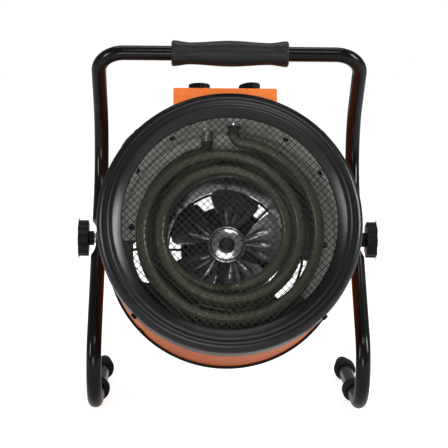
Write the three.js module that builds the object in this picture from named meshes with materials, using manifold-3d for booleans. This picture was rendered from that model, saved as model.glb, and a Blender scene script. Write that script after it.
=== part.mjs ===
// Forced air heater: a tilting drum in a bent tube stand. Millimetres, +Z up.
// The air outlet faces -Y and +X is on the right of someone who looks into it.
// The origin is on the floor, under the middle of the stand.
// Inside the drum, "depth" runs back from the front of the bezel along the drum's axis.

import * as THREE from "three";
import { mergeVertices } from "three/addons/utils/BufferGeometryUtils.js";
import Module from "manifold-3d";

const wasm = await Module();
wasm.setup();

// ---------------------------------------------------------------- driving dimensions

const CLEARANCE = 0.3; // between pieces that touch
const SHEET = 1.2; // steel sheet of the drum
const SHAFT_CLEARANCE = 0.3; // round each shaft and screw

// Stand
const TUBE_DIAMETER = 16;
const TUBE_WALL = 1.5;
const DRUM_RADIUS = 134; // the stand goes round it
const SIDE_ROOM = 0.5; // from the drum to a leg
const FLOOR_ROOM = 47; // under the drum when it is level
const STAND_WIDTH = 2 * (DRUM_RADIUS + SIDE_ROOM) + TUBE_DIAMETER; // between the tubes' centres
const PIVOT_HEIGHT = DRUM_RADIUS + FLOOR_ROOM;
const PIVOT_BACK = 6.5; // of the middle of the whole
const LEG_SLOPE = 46; // degrees from the floor
const TOE_RADIUS = 46;
const ELBOW_RISE = 91; // over the pivot
const ELBOW_HEIGHT = PIVOT_HEIGHT + ELBOW_RISE; // of the corner that the elbow rounds
const ELBOW_RADIUS = 80;
const HANDLE_FORWARD = 18; // of the pivot
const HANDLE_ROOM = 71; // over the drum
const HANDLE_HEIGHT = PIVOT_HEIGHT + DRUM_RADIUS + HANDLE_ROOM;
const HANDLE_CORNER_RADIUS = 28;
const BASE_END = 122.5; // behind the pivot
const PLUG_CAP = 3.2;
const PLUG_STEM = 12;
const FLAT_THICKNESS = 5; // of the tube where it is pressed flat for the pivot
const FLAT_LENGTH = 34;
const FLAT_BLEND = 7;
const FLAT_FACE = 2.5; // outer face of the flat, outside the tube's centre line

// Feet and grip
const FOOT_DIAMETER = 25;
const FOOT_WIDTH = 13;
const FOOT_ROUNDING = 2;
const FRONT_FOOT = -8;
const REAR_FOOT = 92;
const GRIP_LENGTH = 126.6;
const GRIP_DIAMETER = 28;
const GRIP_WAIST_DIAMETER = 23.8;
const GRIP_WAIST_FROM_CENTRE = 43;
const GRIP_END_ROUNDING = 3;

// Clamp knobs
const STUD_DIAMETER = 8;
const COLLAR_DIAMETER = 10.8;
const COLLAR_LENGTH = 2.7;
const HUB_DIAMETER = 16;
const HUB_LENGTH = 5.3;
const HUB_RIBS = 9;
const STAR_DIAMETER = 40;
const STAR_THICKNESS = 11.2;
const STAR_LOBES = 8;
const STAR_LOBE_DEPTH = 2.6;
const STAR_STEPS = 5; // corners of the outline to a lobe
const STAR_BLUNTNESS = 0.7;
const STAR_BEVEL = 1.6;
const HUB_RIB_DEPTH = 0.8;
const STUD_GRIP = 9; // length of stud held in the knob
const STUD_REACH = 6; // past the inside of the drum
const BOSS_DIAMETER = 20;
const BOSS_START = 4; // inside the drum's side

// Drum
const TILT = 20.5; // degrees, nose up, at rest
const PIVOT_DEPTH = 98;
const DRUM_FACETS = 36;
const DRUM_END = 158;
const FRONT_LIP = 13;
const REAR_LIP = 8;
const FRONT_LIP_RADIUS = DRUM_RADIUS - FRONT_LIP;
const REAR_LIP_RADIUS = DRUM_RADIUS - REAR_LIP;

// Bezel
const BEZEL_STEP = 6.5; // out from the drum
const BEZEL_RADIUS = DRUM_RADIUS + BEZEL_STEP;
const BEZEL_WALL = 1.6;
const BEZEL_MOUTH_STEP = 19.5; // in from the drum's side, as the next two
const BEZEL_CONE_STEP = 9.7;
const BEZEL_GROOVE_STEP = 7.6;
const BEZEL_MOUTH_RADIUS = DRUM_RADIUS - BEZEL_MOUTH_STEP;
const BEZEL_MOUTH_DEPTH = 10;
const BEZEL_RIM_WIDTH = 4;
const BEZEL_CONE_RADIUS = DRUM_RADIUS - BEZEL_CONE_STEP;
const BEZEL_CONE_DEPTH = 2.4;
const BEZEL_GROOVE_RADIUS = DRUM_RADIUS - BEZEL_GROOVE_STEP;
const BEZEL_GROOVE_DEPTH = 5.2;
const BEZEL_ROLL_RADIUS = 8;
const BEZEL_SKIRT = 30;
const BEZEL_CURL_OUT = 126; // degrees that the roll turns, on its outside
const BEZEL_CURL_IN = 120;

// Front net
const NET_WIRE = 1.2;
const NET_PITCH = 20.4;
const NET_ROOM = 14; // inside the drum
const NET_RADIUS = DRUM_RADIUS - NET_ROOM;
const NET_RIM = 4;

// Reflector and fan tunnel
const LINER_ROOM = 17; // inside the drum
const LINER_LIP_WIDTH = 8;
const LINER_RADIUS = DRUM_RADIUS - LINER_ROOM;
const LINER_FLANGE_GAP = 3.5; // inside the drum
const LINER_FLANGE_RADIUS = DRUM_RADIUS - LINER_FLANGE_GAP;
const LINER_LIP_RADIUS = LINER_RADIUS - LINER_LIP_WIDTH;
const BULKHEAD_DEPTH = 83.4;
const TUNNEL_RADIUS = 66.5;
const TUNNEL_END = 147;
const TUNNEL_FLARE = 8;
const TUNNEL_FOLD = 2; // of the bulkhead into the tunnel
const TUNNEL_SHEET = 1.2;

// Rear end
const TRIM_WALL = 2.8; // over the drum
const TRIM_RADIUS = DRUM_RADIUS + TRIM_WALL;
const TRIM_FRONT = 156;
const TRIM_REACH = 1.5; // in past the rear lip
const TRIM_OPENING_RADIUS = REAR_LIP_RADIUS - TRIM_REACH;
const MOTOR_RADIUS = 44;
const GUARD_WIRE = 3;
const GUARD_HOLD = 2.2; // from the motor's side to the inner ring
const GUARD_EDGE = 5.7; // from the drum's side to the outer ring
const GUARD_RADII = [MOTOR_RADIUS + GUARD_HOLD, 67, 88, 108, DRUM_RADIUS - GUARD_EDGE];
const GUARD_SPOKES = 8;
const GUARD_FACETS = 20;

// Motor and fan
const MOTOR_FRONT = 149;
const MOTOR_END = 191;
const MOTOR_NOSE_RADIUS = 9;
const MOTOR_NOSE = 3.2;
const MOTOR_FLANGE_STEP = 8;
const MOTOR_FLANGE_RADIUS = MOTOR_RADIUS + MOTOR_FLANGE_STEP;
const MOTOR_FLANGE = 2;
const MOTOR_BORE_DEPTH = 12;
const FAN_SHAFT_DIAMETER = 8;
const FAN_BLADES = 5;
const FAN_TIP_RADIUS = 64;
const FAN_HUB_RADIUS = 19;
const FAN_HUB_FRONT = 132;
const FAN_HUB_BACK = 144.5;
const FAN_TURN = 10; // degrees, of the first blade from straight up
const BLADE_HALF_ANGLE = 29;
const BLADE_PITCH = 22;
const BLADE_THICKNESS = 1.6;
const BLADE_CORNER = 8;
const BLADE_TAPER = 1.6; // of the tip to the root
const BLADE_ROOT = 3; // inside the hub's rim
const BLADE_FORWARD = 4; // of the hub's middle
const CAP_RADIUS = 21.5;
const CAP_RIM = 3;
const CAP_DEPTH = 5;
const NUT_RADIUS = 7.5;
const NUT_LENGTH = 7;

// Heating element
const ELEMENT_DIAMETER = 12;
const ELEMENT_FRONT_DEPTH = 42;
const ELEMENT_SPACING = 24; // from the front spiral to the rear one
const ELEMENT_ROOM = [21, 41, 55.5]; // from the liner in to each of its turns
const ELEMENT_RADII = ELEMENT_ROOM.map((room) => LINER_RADIUS - room);
const ELEMENT_FRONT_X = 5;
const ELEMENT_REAR_X = -23.5;
const ELEMENT_PROUD = 2.8; // of the liner, at its ends
const ELEMENT_TURNS = 2.5; // of each spiral
const ELEMENT_STEPS_IN = [[0.7, 1.2], [1.7, 2.2]]; // turns between which it moves inwards
const ELEMENT_STEP_BACK = 0.7; // radians, over which it goes back to the rear spiral
const ELEMENT_FACETS = 24; // a turn
const ELEMENT_BEND = 17; // along the turn, from its end
const ELEMENT_BEND_RADIUS = 12;
const ELEMENT_BEND_RISE = 0.12; // of the bend's corner, for its length
const TERMINAL_DIAMETER = 9;
const TERMINAL_LENGTH = 15.5;
const BRACKET_WIDTH = 15.4;
const BRACKET_SHEET = 1.2;
const BRACKET_DROP = 11;
const BRACKET_SIZE = 20;

// Control box
const BOX_OFFSET = -4.5;
const BOX_WIDTH = 113;
const BOX_HEIGHT = 20; // over the drum
const BOX_TOP = DRUM_RADIUS + BOX_HEIGHT; // above the drum's axis
const BOX_FRONT = 31;
const BOX_BACK = 115;
const BOX_SHEET = 1.5;
const BOX_CORNER = 2;
const DIAL_SPACING = 56;
const DIAL_DEPTH = 76;
const DIAL_DIAMETER = 24;
const DIAL_HEIGHT = 15.4;
const DIAL_SLOPE = 5; // degrees, of its top
const DIAL_FLUTES = 14;
const DIAL_FLUTE_DEPTH = 0.5;
const SPINDLE_DIAMETER = 6;
const SPINDLE_REACH = 9; // below the box's top sheet
const SWITCH_SIZE = 28;
const SWITCH_HEIGHT = 13;
const THERMOSTAT_DIAMETER = 34;
const THERMOSTAT_HEIGHT = 12;

// Mains cord
const CORD_DIAMETER = 8;
const CORD_GAP = 0.8; // between the turns of the coil
const COIL_CENTRE = { x: -79, z: 101 };
const COIL_RADIUS = 47; // to the middle of the outermost turn
const COIL_LAYERS = 4;
const TURNS_PER_LAYER = 1.38;
const COIL_START = 80; // degrees round from +X
const COIL_STEPS = 24;
const GLAND_X = -29;
const GLAND_RADIUS = 8.6;
const GLAND_NOSE_RADIUS = 6.6;
const GLAND_TIP_RADIUS = 4.6;
const GLAND_FLANGE = 2.4;
const GLAND_LENGTH = 20;
const LEAD_BEND = 32;
const TAIL_X = -38;
const TAIL_BEND = 32;
const TAIL_DROP = 58;
const TIE_WIDTH = 8;
const TIE_THICKNESS = 1.4;
const PLUG_RADIUS = 18;
const PLUG_LENGTH = 40;
const PLUG_NECK_RADIUS = 7;
const PIN_DIAMETER = 4.8;
const PIN_LENGTH = 19;
const PIN_SPACING = 19;

// ---------------------------------------------------------------- finishes

const finish = (color, roughness, metalness) =>
  new THREE.MeshStandardMaterial({ color, roughness, metalness });
const BLACK_PAINT = finish(0x101010, 0.25, 0.1);
const BLACK_PLASTIC = finish(0x18181a, 0.5, 0);
const ORANGE_PAINT = finish(0xe6713a, 0.4, 0.05);
const GALVANISED = finish(0xb9bcc0, 0.25, 1);
const STEEL = finish(0xc8c8c8, 0.3, 1);
const DARK_STEEL = finish(0x3a3a3c, 0.4, 0.8);
const SHEATHED_ELEMENT = finish(0x5d6153, 0.55, 0.6);
const CERAMIC = finish(0xe8e4da, 0.6, 0);
const BLACK_RUBBER = finish(0x141414, 0.8, 0);

// ---------------------------------------------------------------- solids

const radians = THREE.MathUtils.degToRad;
const vec = (x, y, z) => new THREE.Vector3(x, y, z);

// A closed geometry as a manifold-3d solid, with its shared vertices merged.
function toSolid(geometry) {
  const bare = new THREE.BufferGeometry();
  bare.setAttribute("position", geometry.getAttribute("position"));
  bare.setIndex(geometry.index);
  const merged = mergeVertices(bare, 1e-4);
  const index = merged.index.array;
  const triVerts = [];
  for (let i = 0; i < index.length; i += 3) {
    const [a, b, c] = index.subarray(i, i + 3);
    if (a !== b && b !== c && c !== a) triVerts.push(a, b, c);
  }
  return new wasm.Manifold(
    new wasm.Mesh({
      numProp: 3,
      vertProperties: merged.getAttribute("position").array,
      triVerts: new Uint32Array(triVerts),
    }),
  );
}

function toGeometry(solid) {
  const { vertProperties, triVerts } = solid.getMesh();
  const shared = new THREE.BufferGeometry();
  shared.setAttribute("position", new THREE.BufferAttribute(vertProperties, 3));
  shared.setIndex(new THREE.BufferAttribute(triVerts, 1));
  const geometry = shared.toNonIndexed();
  geometry.computeVertexNormals();
  return geometry;
}

const cut = (body, ...tools) =>
  toGeometry(tools.reduce((left, tool) => left.subtract(toSolid(tool)), toSolid(body)));

const join = (...pieces) =>
  toGeometry(pieces.slice(1).reduce((all, piece) => all.add(toSolid(piece)), toSolid(pieces[0])));

// A closed outline of [radius, height] points turned round the Y axis.
function revolve(outline, facets = DRUM_FACETS, start = 0) {
  const points = outline.map(([r, y]) => new THREE.Vector2(r, y));
  if (THREE.ShapeUtils.area(points) < 0) points.reverse();
  points.push(points[0].clone());
  return new THREE.LatheGeometry(points, facets, start);
}

// The same, with its outline given along the drum: [radius, depth].
const drumPiece = (outline, facets) =>
  revolve(outline.map(([r, depth]) => [r, depth - PIVOT_DEPTH]), facets);

// A plain round bar between two heights on the Y axis.
const bar = (radius, from, to, facets = 12) =>
  revolve([[0, from], [radius, from], [radius, to], [0, to]], facets);

// The drum as one solid, with the clearance round it, to scribe pieces to.
const wholeDrum = () =>
  bar(DRUM_RADIUS + CLEARANCE, -PIVOT_DEPTH, DRUM_END - PIVOT_DEPTH, DRUM_FACETS);

function polygon(radius, sides) {
  const corner = (_, i) => {
    const angle = (i * 2 * Math.PI) / sides;
    return new THREE.Vector2(radius * Math.cos(angle), radius * Math.sin(angle));
  };
  return new THREE.Shape(Array.from({ length: sides }, corner));
}

// A path known by its stations, so that a swept section has a ring at each of them.
class StationPath extends THREE.Curve {
  constructor(stations) {
    super();
    this.stations = stations;
  }

  getPointAt(u, target = vec(0, 0, 0)) {
    return target.copy(this.stations[Math.round(u * (this.stations.length - 1))]);
  }

  getTangentAt(u, target = vec(0, 0, 0)) {
    const last = this.stations.length - 1;
    const here = Math.round(u * last);
    const leg = (i) => this.stations[i + 1].clone().sub(this.stations[i]).normalize();
    target.set(0, 0, 0);
    if (here > 0) target.add(leg(here - 1));
    if (here < last) target.add(leg(here));
    return target.normalize();
  }
}

function sweep(stations, radius, sides) {
  return new THREE.ExtrudeGeometry(polygon(radius, sides), {
    steps: stations.length - 1,
    bevelEnabled: false,
    extrudePath: new StationPath(stations),
  });
}

// Stations along straight runs, with an arc of the given radius round each corner.
function roundedPath(corners, degreesPerStep) {
  return corners.flatMap(({ at, radius }, i) => {
    if (!radius) return [at];
    const back = corners[i - 1].at.clone().sub(at).normalize();
    const on = corners[i + 1].at.clone().sub(at).normalize();
    const turn = Math.PI - back.angleTo(on);
    const start = at.clone().addScaledVector(back, radius * Math.tan(turn / 2));
    const middle = back.clone().add(on).normalize();
    const centre = at.clone().addScaledVector(middle, radius / Math.cos(turn / 2));
    const steps = Math.ceil(turn / radians(degreesPerStep));
    return Array.from({ length: steps + 1 }, (_, k) => {
      const angle = (turn * k) / steps;
      const arm = start.clone().sub(centre).multiplyScalar(Math.cos(angle));
      return centre.clone().add(arm).addScaledVector(back, -radius * Math.sin(angle));
    });
  });
}

const smooth = (value, from, to) => THREE.MathUtils.smoothstep(value, from, to);

function piece(name, geometry, material) {
  const mesh = new THREE.Mesh(geometry, material);
  mesh.name = name;
  return mesh;
}

// ---------------------------------------------------------------- stand

const TUBE_RADIUS = TUBE_DIAMETER / 2;
const SIDE_X = STAND_WIDTH / 2;
const BASE_HEIGHT = FOOT_DIAMETER / 2;
const legDirection = vec(0, Math.cos(radians(LEG_SLOPE)), Math.sin(radians(LEG_SLOPE)));
const pivot = vec(0, 0, PIVOT_HEIGHT);

// A point on the leg's centre line, at a distance above the pivot.
const onLeg = (distance) => pivot.clone().addScaledVector(legDirection, distance);

function standSide() {
  const toHeight = (z) => onLeg((z - PIVOT_HEIGHT) / legDirection.z);
  const flatEnds = [-1, 1].flatMap((end) => {
    const flat = (end * FLAT_LENGTH) / 2;
    const blends = [flat, flat + (end * FLAT_BLEND) / 2, flat + end * FLAT_BLEND];
    return end < 0 ? blends.reverse() : blends;
  });
  return [
    { at: vec(0, BASE_END, BASE_HEIGHT) },
    { at: toHeight(BASE_HEIGHT), radius: TOE_RADIUS },
    ...flatEnds.map((distance) => ({ at: onLeg(distance) })),
    { at: toHeight(ELBOW_HEIGHT), radius: ELBOW_RADIUS },
    { at: vec(0, -HANDLE_FORWARD, HANDLE_HEIGHT), radius: HANDLE_CORNER_RADIUS },
  ];
}

// The round section pressed to a flat with round edges, keeping the length round it.
function pressFlats(geometry) {
  const straight = (Math.PI * (TUBE_DIAMETER - FLAT_THICKNESS)) / 4;
  const edge = FLAT_THICKNESS / 2;
  const across = vec(0, -legDirection.z, legDirection.y);
  const position = geometry.getAttribute("position");
  const point = vec(0, 0, 0);
  for (let i = 0; i < position.count; i++) {
    point.fromBufferAttribute(position, i);
    const side = Math.sign(point.x);
    const out = Math.abs(point.x) - SIDE_X;
    const fromPivot = point.clone().setX(0).sub(pivot);
    const along = Math.abs(fromPivot.dot(legDirection));
    const aside = fromPivot.dot(across);
    if (along > FLAT_LENGTH / 2 + FLAT_BLEND || Math.abs(aside) > TUBE_DIAMETER) continue;
    const pressed = 1 - smooth(along, FLAT_LENGTH / 2, FLAT_LENGTH / 2 + FLAT_BLEND);
    const angle = Math.atan2(Math.abs(aside), Math.abs(out));
    const bend = Math.max(0, 2 * (angle - Math.PI / 4));
    const flatAside = straight * Math.min(1, angle / (Math.PI / 4)) + edge * Math.sin(bend);
    const flatOut = FLAT_FACE - edge + Math.sign(out) * edge * Math.cos(bend);
    const newOut = THREE.MathUtils.lerp(out, flatOut, pressed);
    const newAside = THREE.MathUtils.lerp(aside, Math.sign(aside) * flatAside, pressed);
    point.addScaledVector(across, newAside - aside).setX(side * (SIDE_X + newOut));
    position.setXYZ(i, point.x, point.y, point.z);
  }
  return geometry;
}

function frameTube() {
  const mirror = (x) => ({ at, radius }) => ({ at: at.clone().setX(x), radius });
  const left = standSide().map(mirror(-SIDE_X));
  const right = standSide().map(mirror(SIDE_X)).reverse();
  const tube = pressFlats(sweep(roundedPath([...left, ...right], 18), TUBE_RADIUS, 12));
  const socket = (x) =>
    bar(TUBE_RADIUS - TUBE_WALL, BASE_END - PLUG_STEM - CLEARANCE, BASE_END + 1, 12)
      .translate(x, 0, BASE_HEIGHT);
  const pivotHole = bar(STUD_DIAMETER / 2 + SHAFT_CLEARANCE, -STAND_WIDTH, STAND_WIDTH)
    .rotateZ(Math.PI / 2)
    .translate(0, 0, PIVOT_HEIGHT);
  return piece("frame_tube", cut(tube, socket(-SIDE_X), socket(SIDE_X), pivotHole), BLACK_PAINT);
}

function endPlug(name, side) {
  const stem = TUBE_RADIUS - TUBE_WALL - CLEARANCE;
  const outline = [
    [0, -PLUG_STEM], [stem - 0.8, -PLUG_STEM], [stem, -PLUG_STEM + 2], [stem, CLEARANCE],
    [TUBE_RADIUS, CLEARANCE], [TUBE_RADIUS - 0.6, PLUG_CAP - 1],
    [TUBE_RADIUS - 2.4, PLUG_CAP], [0, PLUG_CAP],
  ];
  const plug = piece(name, revolve(outline, 12), BLACK_PLASTIC);
  plug.position.set(side * SIDE_X, BASE_END, BASE_HEIGHT);
  return plug;
}

// A rubber ring round the base tube, turned so that a facet lies flat on the floor.
function footRing(name, side, y) {
  const facets = 16;
  const flatToFlat = 1 / Math.cos(Math.PI / facets);
  const outer = (FOOT_DIAMETER / 2) * flatToFlat;
  const bore = (TUBE_RADIUS + CLEARANCE) * flatToFlat;
  const half = FOOT_WIDTH / 2;
  const outline = [
    [bore, -half], [outer - FOOT_ROUNDING, -half], [outer, -half + FOOT_ROUNDING],
    [outer, half - FOOT_ROUNDING], [outer - FOOT_ROUNDING, half], [bore, half],
  ];
  const ring = piece(name, revolve(outline, facets, Math.PI / facets), BLACK_RUBBER);
  ring.position.set(side * SIDE_X, y, BASE_HEIGHT);
  return ring;
}

function handleGrip() {
  const half = GRIP_LENGTH / 2;
  const full = GRIP_DIAMETER / 2;
  const waist = GRIP_WAIST_DIAMETER / 2;
  const shoulder = half - GRIP_END_ROUNDING;
  const swell = (distance) =>
    distance < GRIP_WAIST_FROM_CENTRE
      ? THREE.MathUtils.lerp(full, waist, smooth(distance, 0, GRIP_WAIST_FROM_CENTRE))
      : THREE.MathUtils.lerp(waist, full, smooth(distance, GRIP_WAIST_FROM_CENTRE, shoulder));
  const steps = 10;
  const surface = Array.from({ length: steps + 1 }, (_, i) => {
    const y = shoulder * ((2 * i) / steps - 1);
    return [swell(Math.abs(y)), y];
  });
  const bore = TUBE_RADIUS + CLEARANCE;
  const lip = full - GRIP_END_ROUNDING;
  const outline = [[bore, -half], [lip, -half], ...surface, [lip, half], [bore, half]];
  const grip = piece("handle_grip", revolve(outline, 16), BLACK_PLASTIC);
  grip.rotation.z = Math.PI / 2;
  grip.position.set(0, -HANDLE_FORWARD, HANDLE_HEIGHT);
  return grip;
}

// ---------------------------------------------------------------- clamp knobs

const FLAT_OUTSIDE = SIDE_X + FLAT_FACE;
const FLAT_INSIDE = FLAT_OUTSIDE - FLAT_THICKNESS;
const COLLAR_START = FLAT_OUTSIDE + CLEARANCE;
const HUB_START = COLLAR_START + COLLAR_LENGTH + CLEARANCE;
const STAR_START = HUB_START + HUB_LENGTH;

// Along X from the outside of the drum; the group that holds it is mirrored by a half turn.
const alongX = (geometry) => geometry.rotateZ(-Math.PI / 2);

function starKnob() {
  const corners = STAR_LOBES * STAR_STEPS;
  const outline = Array.from({ length: corners }, (_, i) => {
    const angle = (i * 2 * Math.PI) / corners;
    const lobe = (1 + Math.cos(STAR_LOBES * angle)) / 2;
    const radius = STAR_DIAMETER / 2 - STAR_LOBE_DEPTH * (1 - lobe ** STAR_BLUNTNESS);
    return new THREE.Vector2(radius * Math.cos(angle), radius * Math.sin(angle));
  });
  const head = new THREE.ExtrudeGeometry(new THREE.Shape(outline), {
    depth: STAR_THICKNESS - 2 * STAR_BEVEL,
    bevelThickness: STAR_BEVEL,
    bevelSize: STAR_BEVEL,
    bevelOffset: -STAR_BEVEL,
    bevelSegments: 1,
  })
    .translate(0, 0, STAR_START + STAR_BEVEL)
    .rotateX(-Math.PI / 2);
  const ribbed = Array.from({ length: HUB_RIBS * 4 }, (_, i) => {
    const angle = ((i + 0.5) * Math.PI) / (HUB_RIBS * 2);
    const radius = HUB_DIAMETER / 2 - (i % 4 < 2 ? 0 : HUB_RIB_DEPTH);
    return new THREE.Vector2(radius * Math.cos(angle), radius * Math.sin(angle));
  });
  const hub = new THREE.ExtrudeGeometry(new THREE.Shape(ribbed), {
    depth: HUB_LENGTH + 1,
    bevelEnabled: false,
  })
    .translate(0, 0, HUB_START)
    .rotateX(-Math.PI / 2);
  const socket = bar(
    STUD_DIAMETER / 2 + SHAFT_CLEARANCE,
    HUB_START - 1,
    HUB_START + STUD_GRIP + CLEARANCE,
  );
  return alongX(cut(join(head, hub), socket));
}

const clampStud = () =>
  alongX(bar(STUD_DIAMETER / 2, DRUM_RADIUS - SHEET - STUD_REACH, HUB_START + STUD_GRIP, 12));

function clampCollar() {
  const bore = STUD_DIAMETER / 2 + SHAFT_CLEARANCE;
  const end = COLLAR_START + COLLAR_LENGTH;
  const rim = COLLAR_DIAMETER / 2;
  return alongX(
    revolve([[bore, COLLAR_START], [rim, COLLAR_START], [rim, end], [bore, end]], 12),
  );
}

// The threaded boss on the drum, between its side and the flat of the leg.
function pivotBoss() {
  const bore = STUD_DIAMETER / 2 + SHAFT_CLEARANCE;
  const inside = DRUM_RADIUS - BOSS_START;
  const end = FLAT_INSIDE - CLEARANCE;
  const rim = BOSS_DIAMETER / 2;
  const boss = alongX(
    revolve([[bore, inside], [rim, inside], [rim, end - 1], [rim - 1, end], [bore, end]], 16),
  );
  return cut(boss, wholeDrum());
}

// ---------------------------------------------------------------- drum and its ends

const NET_FRONT = BEZEL_MOUTH_DEPTH + BEZEL_WALL + CLEARANCE;
const LINER_FRONT = NET_FRONT + NET_WIRE + CLEARANCE;
const ELEMENT_END_RADIUS = LINER_RADIUS + SHEET + ELEMENT_PROUD;
const DRUM_FRONT = LINER_FRONT + SHEET + CLEARANCE;
const LINER_LIP = BULKHEAD_DEPTH + TUNNEL_SHEET + CLEARANCE;
const GUARD_DEPTH = DRUM_END + CLEARANCE + GUARD_WIRE / 2;
const TRIM_FLANGE = GUARD_DEPTH + GUARD_WIRE / 2 + CLEARANCE;
const REAR_FACE = TRIM_FLANGE + BEZEL_WALL;

// Round holes along Z through the top of the drum, for the element's two ends.
const elementEnds = [
  { x: ELEMENT_FRONT_X, depth: ELEMENT_FRONT_DEPTH },
  { x: ELEMENT_REAR_X, depth: ELEMENT_FRONT_DEPTH + ELEMENT_SPACING },
];
const topHoles = (diameter) =>
  elementEnds.map(({ x, depth }) =>
    bar(diameter / 2, LINER_RADIUS / 2, BEZEL_RADIUS)
      .rotateX(Math.PI / 2)
      .translate(x, depth - PIVOT_DEPTH, 0),
  );

function bodyShell() {
  const inside = DRUM_RADIUS - SHEET;
  const drum = drumPiece([
    [FRONT_LIP_RADIUS, DRUM_FRONT], [DRUM_RADIUS, DRUM_FRONT], [DRUM_RADIUS, DRUM_END],
    [REAR_LIP_RADIUS, DRUM_END], [REAR_LIP_RADIUS, DRUM_END - SHEET],
    [inside, DRUM_END - SHEET], [inside, DRUM_FRONT + SHEET],
    [FRONT_LIP_RADIUS, DRUM_FRONT + SHEET],
  ]);
  const pivotHoles = alongX(bar(STUD_DIAMETER / 2 + SHAFT_CLEARANCE, -BEZEL_RADIUS, BEZEL_RADIUS));
  const terminalHoles = topHoles(TERMINAL_DIAMETER + 4 * CLEARANCE);
  return piece("body_shell", cut(drum, pivotHoles, ...terminalHoles), ORANGE_PAINT);
}

// A rolled ring: a cone in to the mouth, a groove, a round roll and a skirt over the drum.
function bezelRing() {
  const roll = { r: BEZEL_RADIUS - BEZEL_ROLL_RADIUS, depth: BEZEL_ROLL_RADIUS };
  const arc = (radius, from, to, steps) =>
    Array.from({ length: steps + 1 }, (_, i) => {
      const angle = radians(THREE.MathUtils.lerp(from, to, i / steps));
      return [roll.r + radius * Math.cos(angle), roll.depth - radius * Math.sin(angle)];
    });
  const inner = BEZEL_ROLL_RADIUS - BEZEL_WALL;
  const rim = BEZEL_MOUTH_RADIUS + BEZEL_RIM_WIDTH;
  const returnLip = DRUM_RADIUS + CLEARANCE;
  const outline = [
    [BEZEL_MOUTH_RADIUS, BEZEL_MOUTH_DEPTH],
    [BEZEL_CONE_RADIUS, BEZEL_CONE_DEPTH],
    [BEZEL_GROOVE_RADIUS, BEZEL_GROOVE_DEPTH],
    ...arc(BEZEL_ROLL_RADIUS, BEZEL_CURL_OUT, 0, 5),
    [BEZEL_RADIUS, BEZEL_SKIRT],
    [returnLip, BEZEL_SKIRT],
    [returnLip, BEZEL_SKIRT - BEZEL_WALL],
    [BEZEL_RADIUS - BEZEL_WALL, BEZEL_SKIRT - BEZEL_WALL],
    ...arc(inner, 0, BEZEL_CURL_IN, 2),
    [BEZEL_GROOVE_RADIUS, BEZEL_GROOVE_DEPTH + BEZEL_WALL],
    [rim, BEZEL_MOUTH_DEPTH + BEZEL_WALL],
    [BEZEL_MOUTH_RADIUS, BEZEL_MOUTH_DEPTH + BEZEL_WALL],
  ];
  return piece("bezel_ring", drumPiece(outline), BLACK_PAINT);
}

// Square-mesh wires set diagonally and joined to a flat rim.
function frontNet() {
  const inside = NET_RADIUS - NET_RIM;
  const middle = NET_FRONT + NET_WIRE / 2 - PIVOT_DEPTH;
  const across = Math.floor((inside - NET_WIRE) / NET_PITCH);
  const wires = [];
  for (let i = -across; i <= across; i++)
    for (const quarter of [1, 3]) {
      const half = Math.sqrt((inside + 1) ** 2 - (i * NET_PITCH) ** 2);
      wires.push(
        new THREE.BoxGeometry(2 * half, NET_WIRE, NET_WIRE)
          .translate(0, middle, i * NET_PITCH)
          .rotateY((quarter * Math.PI) / 4),
      );
    }
  const rim = drumPiece([[inside, NET_FRONT], [NET_RADIUS, NET_FRONT],
    [NET_RADIUS, NET_FRONT + NET_WIRE], [inside, NET_FRONT + NET_WIRE]]);
  const net = join(rim, ...wires);
  console.log("front net:", toSolid(net).genus(), "gaps");
  return piece("front_net", net, BLACK_PAINT);
}

function reflectorLiner() {
  const outside = LINER_RADIUS + SHEET;
  const tube = drumPiece([
    [LINER_RADIUS, LINER_FRONT], [LINER_FLANGE_RADIUS, LINER_FRONT],
    [LINER_FLANGE_RADIUS, LINER_FRONT + SHEET], [outside, LINER_FRONT + SHEET],
    [outside, LINER_LIP + SHEET], [LINER_LIP_RADIUS, LINER_LIP + SHEET],
    [LINER_LIP_RADIUS, LINER_LIP], [LINER_RADIUS, LINER_LIP],
  ]);
  const holes = topHoles(ELEMENT_DIAMETER + 4 * CLEARANCE);
  return piece("reflector_liner", cut(tube, ...holes), GALVANISED);
}

function fanTunnel() {
  const outside = TUNNEL_RADIUS + TUNNEL_SHEET;
  const edge = LINER_RADIUS - CLEARANCE;
  const back = BULKHEAD_DEPTH + TUNNEL_SHEET;
  const flare = (radius, turns) =>
    Array.from({ length: turns + 1 }, (_, i) => {
      const angle = (i * Math.PI) / 2 / turns;
      const centre = TUNNEL_RADIUS + TUNNEL_FLARE;
      return [centre - radius * Math.cos(angle), TUNNEL_END + radius * Math.sin(angle)];
    });
  const outline = [
    [TUNNEL_RADIUS, BULKHEAD_DEPTH + TUNNEL_FOLD], [TUNNEL_RADIUS + TUNNEL_FOLD, BULKHEAD_DEPTH],
    [edge, BULKHEAD_DEPTH], [edge, back], [outside + TUNNEL_FOLD, back],
    [outside, back + TUNNEL_FOLD],
    ...flare(TUNNEL_FLARE - TUNNEL_SHEET, 2), ...flare(TUNNEL_FLARE, 2).reverse(),
  ];
  return piece("fan_tunnel", drumPiece(outline), DARK_STEEL);
}

function rearTrim() {
  const skirt = DRUM_RADIUS + CLEARANCE;
  const outline = [
    [skirt, TRIM_FRONT], [TRIM_RADIUS - 1, TRIM_FRONT], [TRIM_RADIUS, TRIM_FRONT + 1],
    [TRIM_RADIUS, REAR_FACE - 2.5], [TRIM_RADIUS - 2.5, REAR_FACE],
    [TRIM_OPENING_RADIUS, REAR_FACE], [TRIM_OPENING_RADIUS, TRIM_FLANGE], [skirt, TRIM_FLANGE],
  ];
  return piece("rear_trim", drumPiece(outline), BLACK_PLASTIC);
}

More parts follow.
